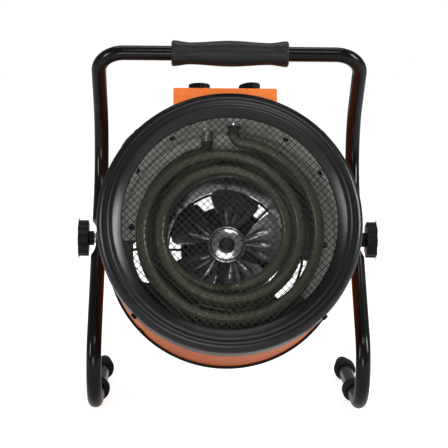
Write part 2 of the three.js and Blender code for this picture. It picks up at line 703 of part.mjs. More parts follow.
function rearGuard() {
  const wire = GUARD_WIRE / 2;
  const front = GUARD_DEPTH - wire;
  const back = GUARD_DEPTH + wire;
  const ring = (radius) =>
    drumPiece([[radius - wire, front], [radius + wire, front], [radius + wire, back],
      [radius - wire, back]], GUARD_FACETS);
  const [inner, outer] = [GUARD_RADII[0], GUARD_RADII[GUARD_RADII.length - 1] - wire / 2];
  const spoke = (_, i) =>
    new THREE.BoxGeometry(outer - inner, GUARD_WIRE, GUARD_WIRE)
      .translate((inner + outer) / 2, GUARD_DEPTH - PIVOT_DEPTH, 0)
      .rotateY((i * 2 * Math.PI) / GUARD_SPOKES);
  const spokes = Array.from({ length: GUARD_SPOKES }, spoke);
  return piece("rear_guard", join(...GUARD_RADII.map(ring), ...spokes), BLACK_PAINT);
}

// ---------------------------------------------------------------- motor and fan

function motor() {
  const bore = FAN_SHAFT_DIAMETER / 2 + SHAFT_CLEARANCE;
  const nose = MOTOR_FRONT - MOTOR_NOSE;
  const flange = GUARD_DEPTH + GUARD_WIRE / 2 + CLEARANCE;
  const outline = [
    [0, nose + MOTOR_BORE_DEPTH], [bore, nose + MOTOR_BORE_DEPTH], [bore, nose],
    [MOTOR_NOSE_RADIUS, nose], [MOTOR_NOSE_RADIUS, MOTOR_FRONT],
    [MOTOR_RADIUS - 4, MOTOR_FRONT], [MOTOR_RADIUS, MOTOR_FRONT + 3], [MOTOR_RADIUS, flange],
    [MOTOR_FLANGE_RADIUS, flange], [MOTOR_FLANGE_RADIUS, flange + MOTOR_FLANGE],
    [MOTOR_RADIUS, flange + MOTOR_FLANGE], [MOTOR_RADIUS, MOTOR_END - 4],
    [MOTOR_RADIUS - 4, MOTOR_END], [0, MOTOR_END],
  ];
  return piece("motor", drumPiece(outline, 24), DARK_STEEL);
}

function fanBlade(index) {
  const half = radians(BLADE_HALF_ANGLE);
  const root = FAN_HUB_RADIUS - BLADE_ROOT;
  const tip = FAN_TIP_RADIUS;
  const corner = BLADE_CORNER / tip;
  const onArc = (radius, angle) => [radius * Math.sin(angle), radius * Math.cos(angle)];
  const blade = new THREE.Shape();
  blade.moveTo(...onArc(root, -half / BLADE_TAPER));
  blade.lineTo(...onArc(tip - BLADE_CORNER, -half));
  blade.quadraticCurveTo(...onArc(tip, -half), ...onArc(tip, -half + corner));
  blade.absarc(0, 0, tip, Math.PI / 2 + half - corner, Math.PI / 2 - half + corner, true);
  blade.quadraticCurveTo(...onArc(tip, half), ...onArc(tip - BLADE_CORNER, half));
  blade.lineTo(...onArc(root, half / BLADE_TAPER));
  const sheet = new THREE.ExtrudeGeometry(blade, {
    depth: BLADE_THICKNESS,
    bevelEnabled: false,
    curveSegments: 3,
  });
  return sheet
    .translate(0, 0, -BLADE_THICKNESS / 2)
    .rotateX(Math.PI / 2)
    .rotateZ(radians(BLADE_PITCH))
    .rotateY(radians(FAN_TURN) + (index * 2 * Math.PI) / FAN_BLADES);
}

function fanWheel() {
  const bore = FAN_SHAFT_DIAMETER / 2 + SHAFT_CLEARANCE;
  const middle = (FAN_HUB_FRONT + FAN_HUB_BACK) / 2 - BLADE_FORWARD;
  const blades = Array.from({ length: FAN_BLADES }, (_, i) =>
    fanBlade(i).translate(0, middle - PIVOT_DEPTH, 0),
  );
  const hub = drumPiece([
    [bore - 1, FAN_HUB_FRONT], [FAN_HUB_RADIUS, FAN_HUB_FRONT],
    [FAN_HUB_RADIUS, FAN_HUB_BACK], [bore - 1, FAN_HUB_BACK],
  ], 24);
  const shaftHole = bar(bore, -PIVOT_DEPTH, PIVOT_DEPTH);
  const front = bar(FAN_HUB_RADIUS + 4, -PIVOT_DEPTH, FAN_HUB_FRONT - PIVOT_DEPTH, 24);
  return piece("fan_wheel", cut(join(hub, ...blades), shaftHole, front), DARK_STEEL);
}

function fanCap() {
  const bore = FAN_SHAFT_DIAMETER / 2 + SHAFT_CLEARANCE;
  const back = FAN_HUB_FRONT - CLEARANCE;
  const inner = CAP_RADIUS - CAP_RIM;
  const outline = [
    [bore, back - 1.5], [inner - 1, back - 1.5], [inner, back - CAP_DEPTH + 1],
    [inner + 1, back - CAP_DEPTH], [CAP_RADIUS - 1, back - CAP_DEPTH],
    [CAP_RADIUS, back - CAP_DEPTH + 1], [CAP_RADIUS, back], [bore, back],
  ];
  return piece("fan_cap", drumPiece(outline, 20), STEEL);
}

function fanNut() {
  const bore = FAN_SHAFT_DIAMETER / 2 + SHAFT_CLEARANCE;
  const back = FAN_HUB_FRONT - 1.5 - 2 * CLEARANCE;
  const front = back - NUT_LENGTH;
  const outline = [
    [0, front], [NUT_RADIUS - 1.5, front], [NUT_RADIUS, front + 1.5], [NUT_RADIUS, back],
    [bore, back], [bore, front + 2], [0, front + 2],
  ];
  return piece("fan_nut", drumPiece(outline, 12), BLACK_PLASTIC);
}

function fanShaft() {
  const front = FAN_HUB_FRONT - 1.5 - NUT_LENGTH + 2;
  const back = MOTOR_FRONT - MOTOR_NOSE + MOTOR_BORE_DEPTH - CLEARANCE;
  const shaft = bar(FAN_SHAFT_DIAMETER / 2, front - PIVOT_DEPTH, back - PIVOT_DEPTH, 12);
  return piece("fan_shaft", shaft, STEEL);
}

// ---------------------------------------------------------------- heating element

// One tube: a spiral in towards the fan, a step back, and a spiral out again.
function elementStations() {
  const [outer, middle, inner] = ELEMENT_RADII;
  const start = (ELEMENT_FRONT_X + ELEMENT_BEND) / outer;
  const dive = ELEMENT_TURNS * 2 * Math.PI;
  const end = 2 * dive + (ELEMENT_REAR_X - ELEMENT_BEND) / outer;
  const [first, second] = ELEMENT_STEPS_IN;
  const inward = (turns) =>
    outer - (outer - middle) * smooth(turns, ...first) - (middle - inner) * smooth(turns, ...second);
  const at = (angle) => {
    const turns = angle / (2 * Math.PI);
    const radius = inward(Math.min(turns, 2 * ELEMENT_TURNS - turns));
    const half = ELEMENT_STEP_BACK / 2;
    const back = ELEMENT_SPACING * smooth(angle, dive - half, dive + half);
    return vec(
      radius * Math.sin(angle),
      ELEMENT_FRONT_DEPTH + back - PIVOT_DEPTH,
      radius * Math.cos(angle),
    );
  };
  const steps = Math.round(((end - start) / (2 * Math.PI)) * ELEMENT_FACETS);
  const spiral = Array.from({ length: steps + 1 }, (_, i) =>
    at(THREE.MathUtils.lerp(start, end, i / steps)),
  );
  const upright = ({ x, depth }) => vec(x, depth - PIVOT_DEPTH, ELEMENT_END_RADIUS);
  const turnDown = (top, start) => {
    const rise = Math.abs(start.x - top.x) * ELEMENT_BEND_RISE;
    const corner = { at: vec(top.x, top.y, start.z + rise), radius: ELEMENT_BEND_RADIUS };
    return roundedPath([{ at: top }, corner, { at: start }], 22).slice(0, -1);
  };
  const lead = turnDown(upright(elementEnds[0]), spiral[0]);
  const tail = turnDown(upright(elementEnds[1]), spiral[steps]).reverse();
  return [...lead, ...spiral, ...tail];
}

function terminal(name, { x, depth }) {
  const radius = TERMINAL_DIAMETER / 2;
  const from = ELEMENT_END_RADIUS + CLEARANCE;
  const to = from + TERMINAL_LENGTH;
  const outline = [
    [0, from], [radius, from], [radius, to - 5], [radius - 2.4, to - 5],
    [radius - 2.4, to], [0, to],
  ];
  const stud = revolve(outline, 12).rotateX(Math.PI / 2);
  return piece(name, stud.translate(x, depth - PIVOT_DEPTH, 0), CERAMIC);
}

// A channel under the top of the liner, with the element's front end through its web.
function elementBracket() {
  const half = BRACKET_WIDTH / 2;
  const liner = LINER_RADIUS * Math.cos(Math.PI / DRUM_FACETS) - CLEARANCE;
  const top = Math.sqrt(liner ** 2 - (half + ELEMENT_FRONT_X) ** 2);
  const foot = top - BRACKET_DROP;
  const channel = new THREE.Shape();
  channel.moveTo(-half, foot);
  channel.lineTo(-half, top);
  channel.lineTo(half, top);
  channel.lineTo(half, foot);
  channel.lineTo(half - BRACKET_SHEET, foot);
  channel.lineTo(half - BRACKET_SHEET, top - BRACKET_SHEET);
  channel.lineTo(-half + BRACKET_SHEET, top - BRACKET_SHEET);
  channel.lineTo(-half + BRACKET_SHEET, foot);
  const folded = new THREE.ExtrudeGeometry(channel, { depth: BRACKET_SIZE, bevelEnabled: false })
    .translate(0, 0, -BRACKET_SIZE / 2)
    .rotateX(Math.PI / 2);
  const hole = bar(ELEMENT_DIAMETER / 2 + CLEARANCE, 0, DRUM_RADIUS).rotateX(Math.PI / 2);
  const bracket = piece("element_bracket", cut(folded, hole), STEEL);
  bracket.position.set(ELEMENT_FRONT_X, ELEMENT_FRONT_DEPTH - PIVOT_DEPTH, 0);
  return bracket;
}

// ---------------------------------------------------------------- route of the mains cord

const LAYER_PITCH = CORD_DIAMETER + CORD_GAP;
const FIRST_LAYER = REAR_FACE + 2 * CLEARANCE + CORD_DIAMETER / 2;
const LAST_LAYER = FIRST_LAYER + (COIL_LAYERS - 1) * LAYER_PITCH;
const INNER_TURN = COIL_RADIUS - TURNS_PER_LAYER * LAYER_PITCH;
const COIL_ANGLE = COIL_LAYERS * TURNS_PER_LAYER * 2 * Math.PI;
const hanging = vec(0, Math.sin(radians(TILT)), -Math.cos(radians(TILT)));

// The cord spirals in and out again, and climbs a layer in the half turn about each reversal.
function coilPoint(angle) {
  const perLayer = TURNS_PER_LAYER * 2 * Math.PI;
  const layer = Math.min(Math.floor(angle / perLayer), COIL_LAYERS - 1);
  const inLayer = (angle - layer * perLayer) / (2 * Math.PI);
  const inward = layer % 2 ? TURNS_PER_LAYER - inLayer : inLayer;
  const radius = COIL_RADIUS - inward * LAYER_PITCH;
  let depth = FIRST_LAYER;
  for (let k = 1; k < COIL_LAYERS; k++)
    depth += LAYER_PITCH * smooth(angle, k * perLayer - Math.PI / 2, k * perLayer + Math.PI / 2);
  const round = radians(COIL_START) + angle;
  return vec(
    COIL_CENTRE.x + radius * Math.cos(round),
    depth - PIVOT_DEPTH,
    COIL_CENTRE.z + radius * Math.sin(round),
  );
}

// The way the cord runs at an angle round the coil.
function coilDirection(angle) {
  const round = radians(COIL_START) + angle;
  return vec(-Math.sin(round), 0, Math.cos(round));
}

function coilStations() {
  const steps = Math.round((COIL_ANGLE / (2 * Math.PI)) * COIL_STEPS);
  const turns = Array.from({ length: steps + 1 }, (_, i) => coilPoint((COIL_ANGLE * i) / steps));
  const beyond = (angle, by) => coilPoint(angle).addScaledVector(coilDirection(angle), by);
  return [beyond(0, -CORD_DIAMETER), ...turns, beyond(COIL_ANGLE, CORD_DIAMETER)];
}

// The least gap between stretches of the coil that are more than half a turn apart.
function leastGap(stations, skipped) {
  let least = Infinity;
  stations.forEach((a, i) =>
    stations.slice(i + skipped).forEach((b, j, rest) => {
      const next = rest[j + 1];
      if (!next) return;
      const near = new THREE.Line3(b, next).closestPointToPoint(a, true, vec(0, 0, 0));
      least = Math.min(least, near.distanceTo(a));
    }),
  );
  return least;
}

const coil = coilStations();
const coilEnd = coil[coil.length - 1];
console.log("cord coil: least gap to itself",
  (leastGap(coil, COIL_STEPS / 2) - CORD_DIAMETER).toFixed(2), "mm");

// The cord leaves the box in line with the start of its first turn.
const coilSlope = coilDirection(0).z / coilDirection(0).x;
const GLAND_Z = coil[0].z + (GLAND_X - coil[0].x) * coilSlope;

// ---------------------------------------------------------------- control box

const DIALS = [
  { name: "left", x: BOX_OFFSET - DIAL_SPACING / 2 },
  { name: "right", x: BOX_OFFSET + DIAL_SPACING / 2 },
];
const UNDER_TOP = BOX_TOP - BOX_SHEET - CLEARANCE;

// A folded sheet-steel box, open below, with its edges scribed to the drum.
function controlBox() {
  const block = (sheet, top) => {
    const half = BOX_WIDTH / 2 - sheet;
    const radius = Math.max(BOX_CORNER - sheet, 0.3);
    const section = new THREE.Shape();
    section.moveTo(-half, 0);
    section.lineTo(half, 0);
    section.lineTo(half, top - radius);
    section.absarc(half - radius, top - radius, radius, 0, Math.PI / 2);
    section.lineTo(-half + radius, top);
    section.absarc(-half + radius, top - radius, radius, Math.PI / 2, Math.PI);
    return new THREE.ExtrudeGeometry(section, {
      depth: BOX_BACK - BOX_FRONT - 2 * sheet,
      bevelEnabled: false,
      curveSegments: 3,
    })
      .rotateX(Math.PI / 2)
      .translate(BOX_OFFSET, BOX_BACK - sheet - PIVOT_DEPTH, 0);
  };
  const dialHoles = DIALS.map(({ x }) =>
    bar(SPINDLE_DIAMETER / 2 + 2 * SHAFT_CLEARANCE, BOX_TOP - 10, BOX_TOP + 5)
      .rotateX(Math.PI / 2)
      .translate(x, DIAL_DEPTH - PIVOT_DEPTH, 0),
  );
  const glandHole = bar(GLAND_NOSE_RADIUS - 1, BOX_BACK - PIVOT_DEPTH - 5, BOX_BACK)
    .translate(GLAND_X, 0, GLAND_Z);
  const box = cut(block(0, BOX_TOP), block(BOX_SHEET, BOX_TOP - BOX_SHEET), wholeDrum(),
    ...dialHoles, glandHole);
  return piece("control_box", box, ORANGE_PAINT);
}

// A fluted dial with a sloping top, on the spindle of what it turns.
function controlDial(name, { x }, turned) {
  const radius = DIAL_DIAMETER / 2;
  const fluted = Array.from({ length: DIAL_FLUTES * 2 }, (_, i) => {
    const angle = (i * Math.PI) / DIAL_FLUTES;
    const r = radius - (i % 2 ? DIAL_FLUTE_DEPTH : 0);
    return new THREE.Vector2(r * Math.cos(angle), r * Math.sin(angle));
  });
  const knob = new THREE.ExtrudeGeometry(new THREE.Shape(fluted), {
    depth: DIAL_HEIGHT + 3,
    bevelEnabled: false,
  });
  const above = new THREE.BoxGeometry(4 * radius, 4 * radius, DIAL_HEIGHT)
    .translate(0, 0, DIAL_HEIGHT / 2)
    .rotateY(radians(-DIAL_SLOPE))
    .translate(0, 0, DIAL_HEIGHT - 1);
  const spindle = bar(SPINDLE_DIAMETER / 2, -SPINDLE_REACH - CLEARANCE, 2, 12)
    .rotateX(Math.PI / 2);
  const dial = piece(name, cut(join(knob, spindle), above), BLACK_PLASTIC);
  dial.rotation.z = turned;
  dial.position.set(x, DIAL_DEPTH - PIVOT_DEPTH, BOX_TOP + CLEARANCE);
  return dial;
}

const spindleBore = (x) =>
  bar(SPINDLE_DIAMETER / 2 + SHAFT_CLEARANCE, BOX_TOP - SPINDLE_REACH - 3 * CLEARANCE, BOX_TOP)
    .rotateX(Math.PI / 2)
    .translate(x, DIAL_DEPTH - PIVOT_DEPTH, 0);

function heatSwitch() {
  const [{ x }] = DIALS;
  const block = new THREE.BoxGeometry(SWITCH_SIZE, SWITCH_SIZE, SWITCH_HEIGHT)
    .translate(x, DIAL_DEPTH - PIVOT_DEPTH, UNDER_TOP - SWITCH_HEIGHT / 2);
  return piece("heat_switch", cut(block, spindleBore(x)), BLACK_PLASTIC);
}

function roomThermostat() {
  const [, { x }] = DIALS;
  const can = bar(THERMOSTAT_DIAMETER / 2, UNDER_TOP - THERMOSTAT_HEIGHT, UNDER_TOP, 20)
    .rotateX(Math.PI / 2)
    .translate(x, DIAL_DEPTH - PIVOT_DEPTH, 0);
  return piece("room_thermostat", cut(can, spindleBore(x)), STEEL);
}

function cordGland() {
  const from = BOX_BACK + CLEARANCE;
  const outline = [
    [0, from], [GLAND_RADIUS, from], [GLAND_RADIUS, from + GLAND_FLANGE],
    [GLAND_NOSE_RADIUS, from + GLAND_FLANGE], [GLAND_TIP_RADIUS, from + GLAND_LENGTH],
    [0, from + GLAND_LENGTH],
  ];
  const gland = piece("cord_gland", drumPiece(outline, 16), BLACK_PLASTIC);
  gland.position.set(GLAND_X, 0, GLAND_Z);
  return gland;
}

// ---------------------------------------------------------------- mains cord

// Moves the last point of a route back by the clearance that touching pieces keep.
function shortenEnd(route, by) {
  const last = route[route.length - 1];
  const back = route[route.length - 2].clone().sub(last).normalize();
  return [...route.slice(0, -1), last.clone().addScaledVector(back, by)];
}

function cordLead() {
  const from = vec(GLAND_X, BOX_BACK + GLAND_LENGTH + 2 * CLEARANCE - PIVOT_DEPTH, GLAND_Z);
  const corner = vec(GLAND_X, FIRST_LAYER - PIVOT_DEPTH, GLAND_Z);
  const route = roundedPath(
    [{ at: from }, { at: corner, radius: LEAD_BEND }, { at: coil[0] }],
    18,
  );
  return piece("cord_lead", sweep(shortenEnd(route, CLEARANCE), CORD_DIAMETER / 2, 8),
    BLACK_RUBBER);
}

const tailCorner = vec(TAIL_X, LAST_LAYER - PIVOT_DEPTH, coilEnd.z);
const tailFoot = tailCorner.clone().addScaledVector(hanging, TAIL_DROP);

function cordTail() {
  const route = roundedPath(
    [{ at: tailFoot }, { at: tailCorner, radius: TAIL_BEND }, { at: coilEnd }],
    18,
  );
  return piece("cord_tail", sweep(shortenEnd(route, CLEARANCE), CORD_DIAMETER / 2, 8),
    BLACK_RUBBER);
}

// A strap round the side of the coil nearest the axis, and round the guard ring under it.
function cordTie() {
  const towardsAxis = Math.atan2(-COIL_CENTRE.z, -COIL_CENTRE.x);
  const wire = CORD_DIAMETER / 2;
  const inner = { from: INNER_TURN - wire - 2 * CLEARANCE, to: COIL_RADIUS + wire + 2 * CLEARANCE };
  const front = GUARD_DEPTH - GUARD_WIRE / 2 - 2 * CLEARANCE;
  const back = LAST_LAYER + wire + 2 * CLEARANCE;
  const loop = (grow) =>
    new THREE.BoxGeometry(
      inner.to - inner.from + 2 * grow,
      back - front + 2 * grow,
      TIE_WIDTH + (grow ? 0 : 2),
    );
  const strap = cut(loop(TIE_THICKNESS), loop(0))
    .translate((inner.from + inner.to) / 2, (front + back) / 2 - PIVOT_DEPTH, 0)
    .rotateY(-towardsAxis)
    .translate(COIL_CENTRE.x, 0, COIL_CENTRE.z);
  return piece("cord_tie", strap, BLACK_PLASTIC);
}

// The plug hangs from the tail, its pins down.
function mainsPlug() {
  const group = new THREE.Group();
  group.position.copy(tailFoot).addScaledVector(hanging, CLEARANCE);
  group.quaternion.setFromUnitVectors(vec(0, 1, 0), hanging);
  const outline = [
    [0, 0], [PLUG_NECK_RADIUS, 0], [PLUG_NECK_RADIUS + 1.5, 12], [PLUG_RADIUS - 2, 17],
    [PLUG_RADIUS, 20], [PLUG_RADIUS, PLUG_LENGTH - 1], [PLUG_RADIUS - 1, PLUG_LENGTH],
    [0, PLUG_LENGTH],
  ];
  group.add(piece("plug_body", revolve(outline, 16), BLACK_PLASTIC));
  const pinFrom = PLUG_LENGTH + CLEARANCE;
  for (const [side, name] of [[-1, "plug_pin_a"], [1, "plug_pin_b"]]) {
    const radius = PIN_DIAMETER / 2;
    const pin = revolve([
      [0, pinFrom], [radius, pinFrom], [radius, pinFrom + PIN_LENGTH - 1],
      [radius - 1, pinFrom + PIN_LENGTH], [0, pinFrom + PIN_LENGTH],
    ], 8);
    group.add(piece(name, pin.translate((side * PIN_SPACING) / 2, 0, 0), STEEL));
  }
  return group;
}

// ---------------------------------------------------------------- assembly

const stand = new THREE.Group();
stand.position.y = PIVOT_BACK;
stand.add(frameTube(), handleGrip());
for (const [side, hand] of [[-1, "left"], [1, "right"]]) {
  stand.add(
    endPlug("end_plug_" + hand, side),
    footRing("foot_front_" + hand, side, FRONT_FOOT),
    footRing("foot_rear_" + hand, side, REAR_FOOT),
  );
  const clamp = new THREE.Group();
  clamp.position.z = PIVOT_HEIGHT;
  clamp.rotation.z = side < 0 ? Math.PI : 0;
  clamp.add(
    piece("clamp_knob_" + hand, starKnob(), BLACK_PLASTIC),
    piece("clamp_stud_" + hand, clampStud(), STEEL),
    piece("clamp_collar_" + hand, clampCollar(), STEEL),
  );
  stand.add(clamp);
}

const head = new THREE.Group();
head.position.set(0, PIVOT_BACK, PIVOT_HEIGHT);
head.rotation.x = -radians(TILT);
const bossRight = piece("pivot_boss_right", pivotBoss(), STEEL);
const bossLeft = piece("pivot_boss_left", pivotBoss(), STEEL);
bossLeft.rotation.y = Math.PI;
head.add(
  bodyShell(),
  bezelRing(),
  frontNet(),
  reflectorLiner(),
  fanTunnel(),
  rearTrim(),
  rearGuard(),
  bossRight,
  bossLeft,
  motor(),
  fanWheel(),
  fanCap(),
  fanNut(),
  fanShaft(),
  piece("heating_element", sweep(elementStations(), ELEMENT_DIAMETER / 2, 6), SHEATHED_ELEMENT),
  terminal("element_terminal_front", elementEnds[0]),
  terminal("element_terminal_rear", elementEnds[1]),
  elementBracket(),
  controlBox(),
  controlDial("heat_dial", DIALS[0], Math.PI / 2),
  controlDial("thermostat_dial", DIALS[1], 0),
  heatSwitch(),
  roomThermostat(),
  cordGland(),
  cordLead(),
  piece("cord_coil", sweep(coil, CORD_DIAMETER / 2, 6), BLACK_RUBBER),
  cordTail(),
  cordTie(),
  mainsPlug(),
);

const heater = new THREE.Group();
heater.add(stand, head);

export default heater;
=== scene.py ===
# Forced air heater: its looks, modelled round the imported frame.
# Millimetres in the dictionaries, metres in Blender, +Z up, and the air comes out towards -Y.
# Inside the head, "depth" runs back from the front of the bezel along the drum's axis.

from math import atan2, ceil, copysign, cos, degrees, exp, hypot, pi, radians, sin, sqrt, tan

import bmesh
import bpy
from mathutils import Matrix, Vector


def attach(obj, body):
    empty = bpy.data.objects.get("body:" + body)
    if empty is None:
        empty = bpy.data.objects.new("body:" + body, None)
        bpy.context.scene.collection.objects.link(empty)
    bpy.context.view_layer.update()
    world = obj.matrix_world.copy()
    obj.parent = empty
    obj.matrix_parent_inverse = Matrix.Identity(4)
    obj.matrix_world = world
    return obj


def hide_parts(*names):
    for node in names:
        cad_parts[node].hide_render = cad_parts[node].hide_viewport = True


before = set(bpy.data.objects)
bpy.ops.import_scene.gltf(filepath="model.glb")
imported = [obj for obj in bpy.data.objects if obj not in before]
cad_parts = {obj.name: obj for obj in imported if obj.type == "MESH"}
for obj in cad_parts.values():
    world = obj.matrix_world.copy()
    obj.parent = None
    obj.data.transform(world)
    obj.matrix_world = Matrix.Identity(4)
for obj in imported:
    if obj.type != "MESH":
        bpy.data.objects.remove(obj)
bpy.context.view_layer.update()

mm = 0.001
fullTurn = 2 * pi

headSetting = {"tilt": 20.5, "pivotHeight": 181, "pivotDepth": 98, "pivotBack": 6.5}
hands = ((-1, "left"), (1, "right"))
quarters = (45, 135, 225, 315)


def shiftTo(at):
    return Matrix.Translation(Vector(at) * mm)


def turnBy(angle, axis):
    return Matrix.Rotation(radians(angle), 4, axis)


alongX = turnBy(-90, "Z")  # turns the lathe's Y axis to +X
alongZ = turnBy(90, "X")  # and to +Z
standPlace = shiftTo((0, headSetting["pivotBack"], 0))
headPlace = standPlace @ shiftTo((0, 0, headSetting["pivotHeight"])) @ turnBy(
    -headSetting["tilt"], "X")


def inHead(x, depth, z):
    return Vector((x, depth - headSetting["pivotDepth"], z))


def atAngle(radius, angle, depth):
    # a point of the head on a circle round its axis, from +X towards +Z, in degrees
    turn = radians(angle)
    return inHead(radius * cos(turn), depth, radius * sin(turn))


view = {"sensor": 36, "focalPixels": 1591, "framePixels": 448, "place": (-45.7, -1737.9, 443),
        "pitch": 8.0, "heading": 1.3635, "roll": 0.6}


def setCamera():
    bpy.ops.object.camera_add(location=Vector(view["place"]) * mm)
    camera = bpy.context.object
    camera.name = "camera"
    camera.data.sensor_width = view["sensor"]
    camera.data.lens = view["sensor"] * view["focalPixels"] / view["framePixels"]
    turned = turnBy(-view["heading"], "Z") @ turnBy(90 - view["pitch"], "X")
    camera.rotation_euler = (turned @ turnBy(view["roll"], "Z")).to_euler()
    bpy.context.scene.camera = camera


# Modelling helpers


def clearSelection():
    if bpy.context.object and bpy.context.object.mode != "OBJECT":
        bpy.ops.object.mode_set(mode="OBJECT")
    bpy.ops.object.select_all(action="DESELECT")


def pick(piece):
    clearSelection()
    piece.select_set(True)
    bpy.context.view_layer.objects.active = piece


def editAll(piece):
    pick(piece)
    bpy.ops.object.mode_set(mode="EDIT")
    bpy.ops.mesh.select_mode(type="VERT")
    bpy.ops.mesh.select_all(action="SELECT")


def selectFaces(piece, wanted):
    # goes into edit mode, and selects the faces whose centre and normal pass the test
    pick(piece)
    bpy.ops.object.mode_set(mode="EDIT")
    bpy.ops.mesh.select_mode(type="FACE")
    bpy.ops.mesh.select_all(action="DESELECT")
    mesh = bmesh.from_edit_mesh(piece.data)
    for face in mesh.faces:
        face.select_set(wanted(face.calc_center_median(), face.normal))
    mesh.select_flush_mode()
    bmesh.update_edit_mesh(piece.data)


def moveVertices(piece, moved):
    for vertex in piece.data.vertices:
        vertex.co = moved(vertex.co.copy())
    piece.data.update()


def applyModifier(piece, kind, **settings):
    pick(piece)
    modifier = piece.modifiers.new(kind.title(), kind)
    for name, value in settings.items():
        setattr(modifier, name, value)
    bpy.ops.object.modifier_apply(modifier=modifier.name)


def roundEdges(piece, width, segments=2, angle=40):
    applyModifier(piece, "BEVEL", width=width * mm, segments=segments, limit_method="ANGLE",
                  angle_limit=radians(angle))


def copyPiece(source, name, place):
    pick(source)
    bpy.ops.object.duplicate()
    twin = bpy.context.object
    twin.name = name
    twin.matrix_world = place @ twin.matrix_world
    return twin


def joinPieces(name, pieces):
    clearSelection()
    for piece in pieces:
        piece.select_set(True)
    bpy.context.view_layer.objects.active = pieces[0]
    bpy.ops.object.join()
    pieces[0].name = name
    return pieces[0]


def cutAway(piece, tool):
    applyModifier(piece, "BOOLEAN", object=tool, operation="DIFFERENCE", solver="EXACT")
    bpy.data.objects.remove(tool)


def addShape(name, operator, **settings):
    # a primitive with its place, turn and scale applied
    clearSelection()
    operator(**settings)
    piece = bpy.context.object
    piece.name = name
    bpy.ops.object.transform_apply(location=True, rotation=True, scale=True)
    return piece


def addCube(name, size, middle=(0, 0, 0), turned=0):
    return addShape(name, bpy.ops.mesh.primitive_cube_add, size=1, scale=Vector(size) * mm,
                    location=Vector(middle) * mm, rotation=(0, 0, turned))


def camelCase(node):
    first, *others = node.split("_")
    return first + "".join(word.title() for word in others)


def finishPiece(piece, material, body, nodes=(), place=Matrix.Identity(4), sharp=35):
    pick(piece)
    piece.matrix_world = place @ piece.matrix_world
    bpy.ops.object.transform_apply(location=True, rotation=True, scale=True)
    bpy.ops.object.shade_smooth_by_angle(angle=radians(sharp))
    piece.data.materials.clear()
    piece.data.materials.append(material)
    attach(piece, body)
    if nodes:
        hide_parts(*nodes)
    return piece


def placeCopies(model, material, body, places):
    # places: {node replaced: where the copy goes}
    for node, place in places.items():
        finishPiece(copyPiece(model, camelCase(node), place), material, body, (node,))
    bpy.data.objects.remove(model)


def lathe(name, outline, steps=128, shut=True):
    # a plane merged to one point, drawn along the outline and spun about Y
    piece = addShape(name, bpy.ops.mesh.primitive_plane_add, size=mm)
    editAll(piece)
    bpy.ops.mesh.merge(type="CENTER")
    corners = [Vector((radius, along, 0)) * mm for radius, along in outline]
    if shut:
        corners.append(corners[0])
    bpy.ops.transform.translate(value=corners[0])
    for here, there in zip(corners, corners[1:]):
        bpy.ops.mesh.extrude_region_move(TRANSFORM_OT_translate={"value": there - here})
    bpy.ops.mesh.select_all(action="SELECT")
    bpy.ops.mesh.remove_doubles(threshold=1e-6)
    bpy.ops.mesh.spin(steps=steps, angle=fullTurn, center=(0, 0, 0), axis=(0, 1, 0))
    bpy.ops.mesh.select_all(action="SELECT")
    bpy.ops.mesh.remove_doubles(threshold=1e-6)
    bpy.ops.mesh.normals_make_consistent(inside=False)
    bpy.ops.object.mode_set(mode="OBJECT")
    return piece


def headLathe(name, outline, steps=128, shut=True):
    # the outline's second number is a depth
    outline = [(radius, depth - headSetting["pivotDepth"]) for radius, depth in outline]
    return lathe(name, outline, steps, shut)


def headPiece(node, outline, material, steps=128, shut=True, body="head", sharp=35):
    return finishPiece(headLathe(camelCase(node), outline, steps, shut), material, body, (node,),
                       headPlace, sharp)


def arc(centre, radius, start, end, steps):
    # points round a circle of the outline's plane, angles in degrees
    turns = [radians(start + (end - start) * i / steps) for i in range(steps + 1)]
    return [(centre[0] + radius * cos(a), centre[1] + radius * sin(a)) for a in turns]


def tubesAlong(name, routes, radius, sides, caps=True):
    clearSelection()
    curve = bpy.data.curves.new(name, "CURVE")
    curve.dimensions = "3D"
    curve.bevel_depth = radius * mm
    curve.bevel_resolution = (sides - 4) // 2
    curve.use_fill_caps = caps
    for route in routes:
        line = curve.splines.new("POLY")
        line.points.add(len(route) - 1)
        for point, at in zip(line.points, route):
            point.co = (*(Vector(at) * mm), 1)
    piece = bpy.data.objects.new(name, curve)
    bpy.context.collection.objects.link(piece)
    pick(piece)
    bpy.ops.object.convert(target="MESH")
    return bpy.context.object


def roundedPath(corners, stepDegrees):
    # straight runs with an arc at each corner that has a radius
    route = []
    for i, (at, radius) in enumerate(corners):
        at = Vector(at)
        if not radius:
            route.append(at)
            continue
        back = (Vector(corners[i - 1][0]) - at).normalized()
        on = (Vector(corners[i + 1][0]) - at).normalized()
        turn = pi - back.angle(on)
        start = at + back * radius * tan(turn / 2)
        centre = at + (back + on).normalized() * radius / cos(turn / 2)
        steps = max(2, ceil(degrees(turn) / stepDegrees))
        for k in range(steps + 1):
            angle = turn * k / steps
            route.append(centre + (start - centre) * cos(angle)
                         - back * radius * sin(angle))
    return route


def smoothStep(value, low, high):
    t = min(1, max(0, (value - low) / (high - low)))
    return t * t * (3 - 2 * t)


# Finishes


def newGroup(name, inputs, outputs):
    # inputs: {label: start value}, outputs: {label: kind of socket}
    group = bpy.data.node_groups.new(name, "ShaderNodeTree")
    for label, start in inputs.items():
        kind = "Color" if isinstance(start, tuple) else "Float"
        group.interface.new_socket(label, in_out="INPUT",
                                   socket_type="NodeSocket" + kind).default_value = start
    for label, kind in outputs.items():
        group.interface.new_socket(label, in_out="OUTPUT", socket_type="NodeSocket" + kind)
    where = addNode(group, "ShaderNodeTexCoord").outputs["Object"]
    return group, group.nodes.new("NodeGroupInput").outputs, where


def feed(tree, node, links):
    # links: {input: value or output socket}
    for name, value in links.items():
        if isinstance(value, bpy.types.NodeSocket):
            tree.links.new(value, node.inputs[name])
        else:
            node.inputs[name].default_value = value


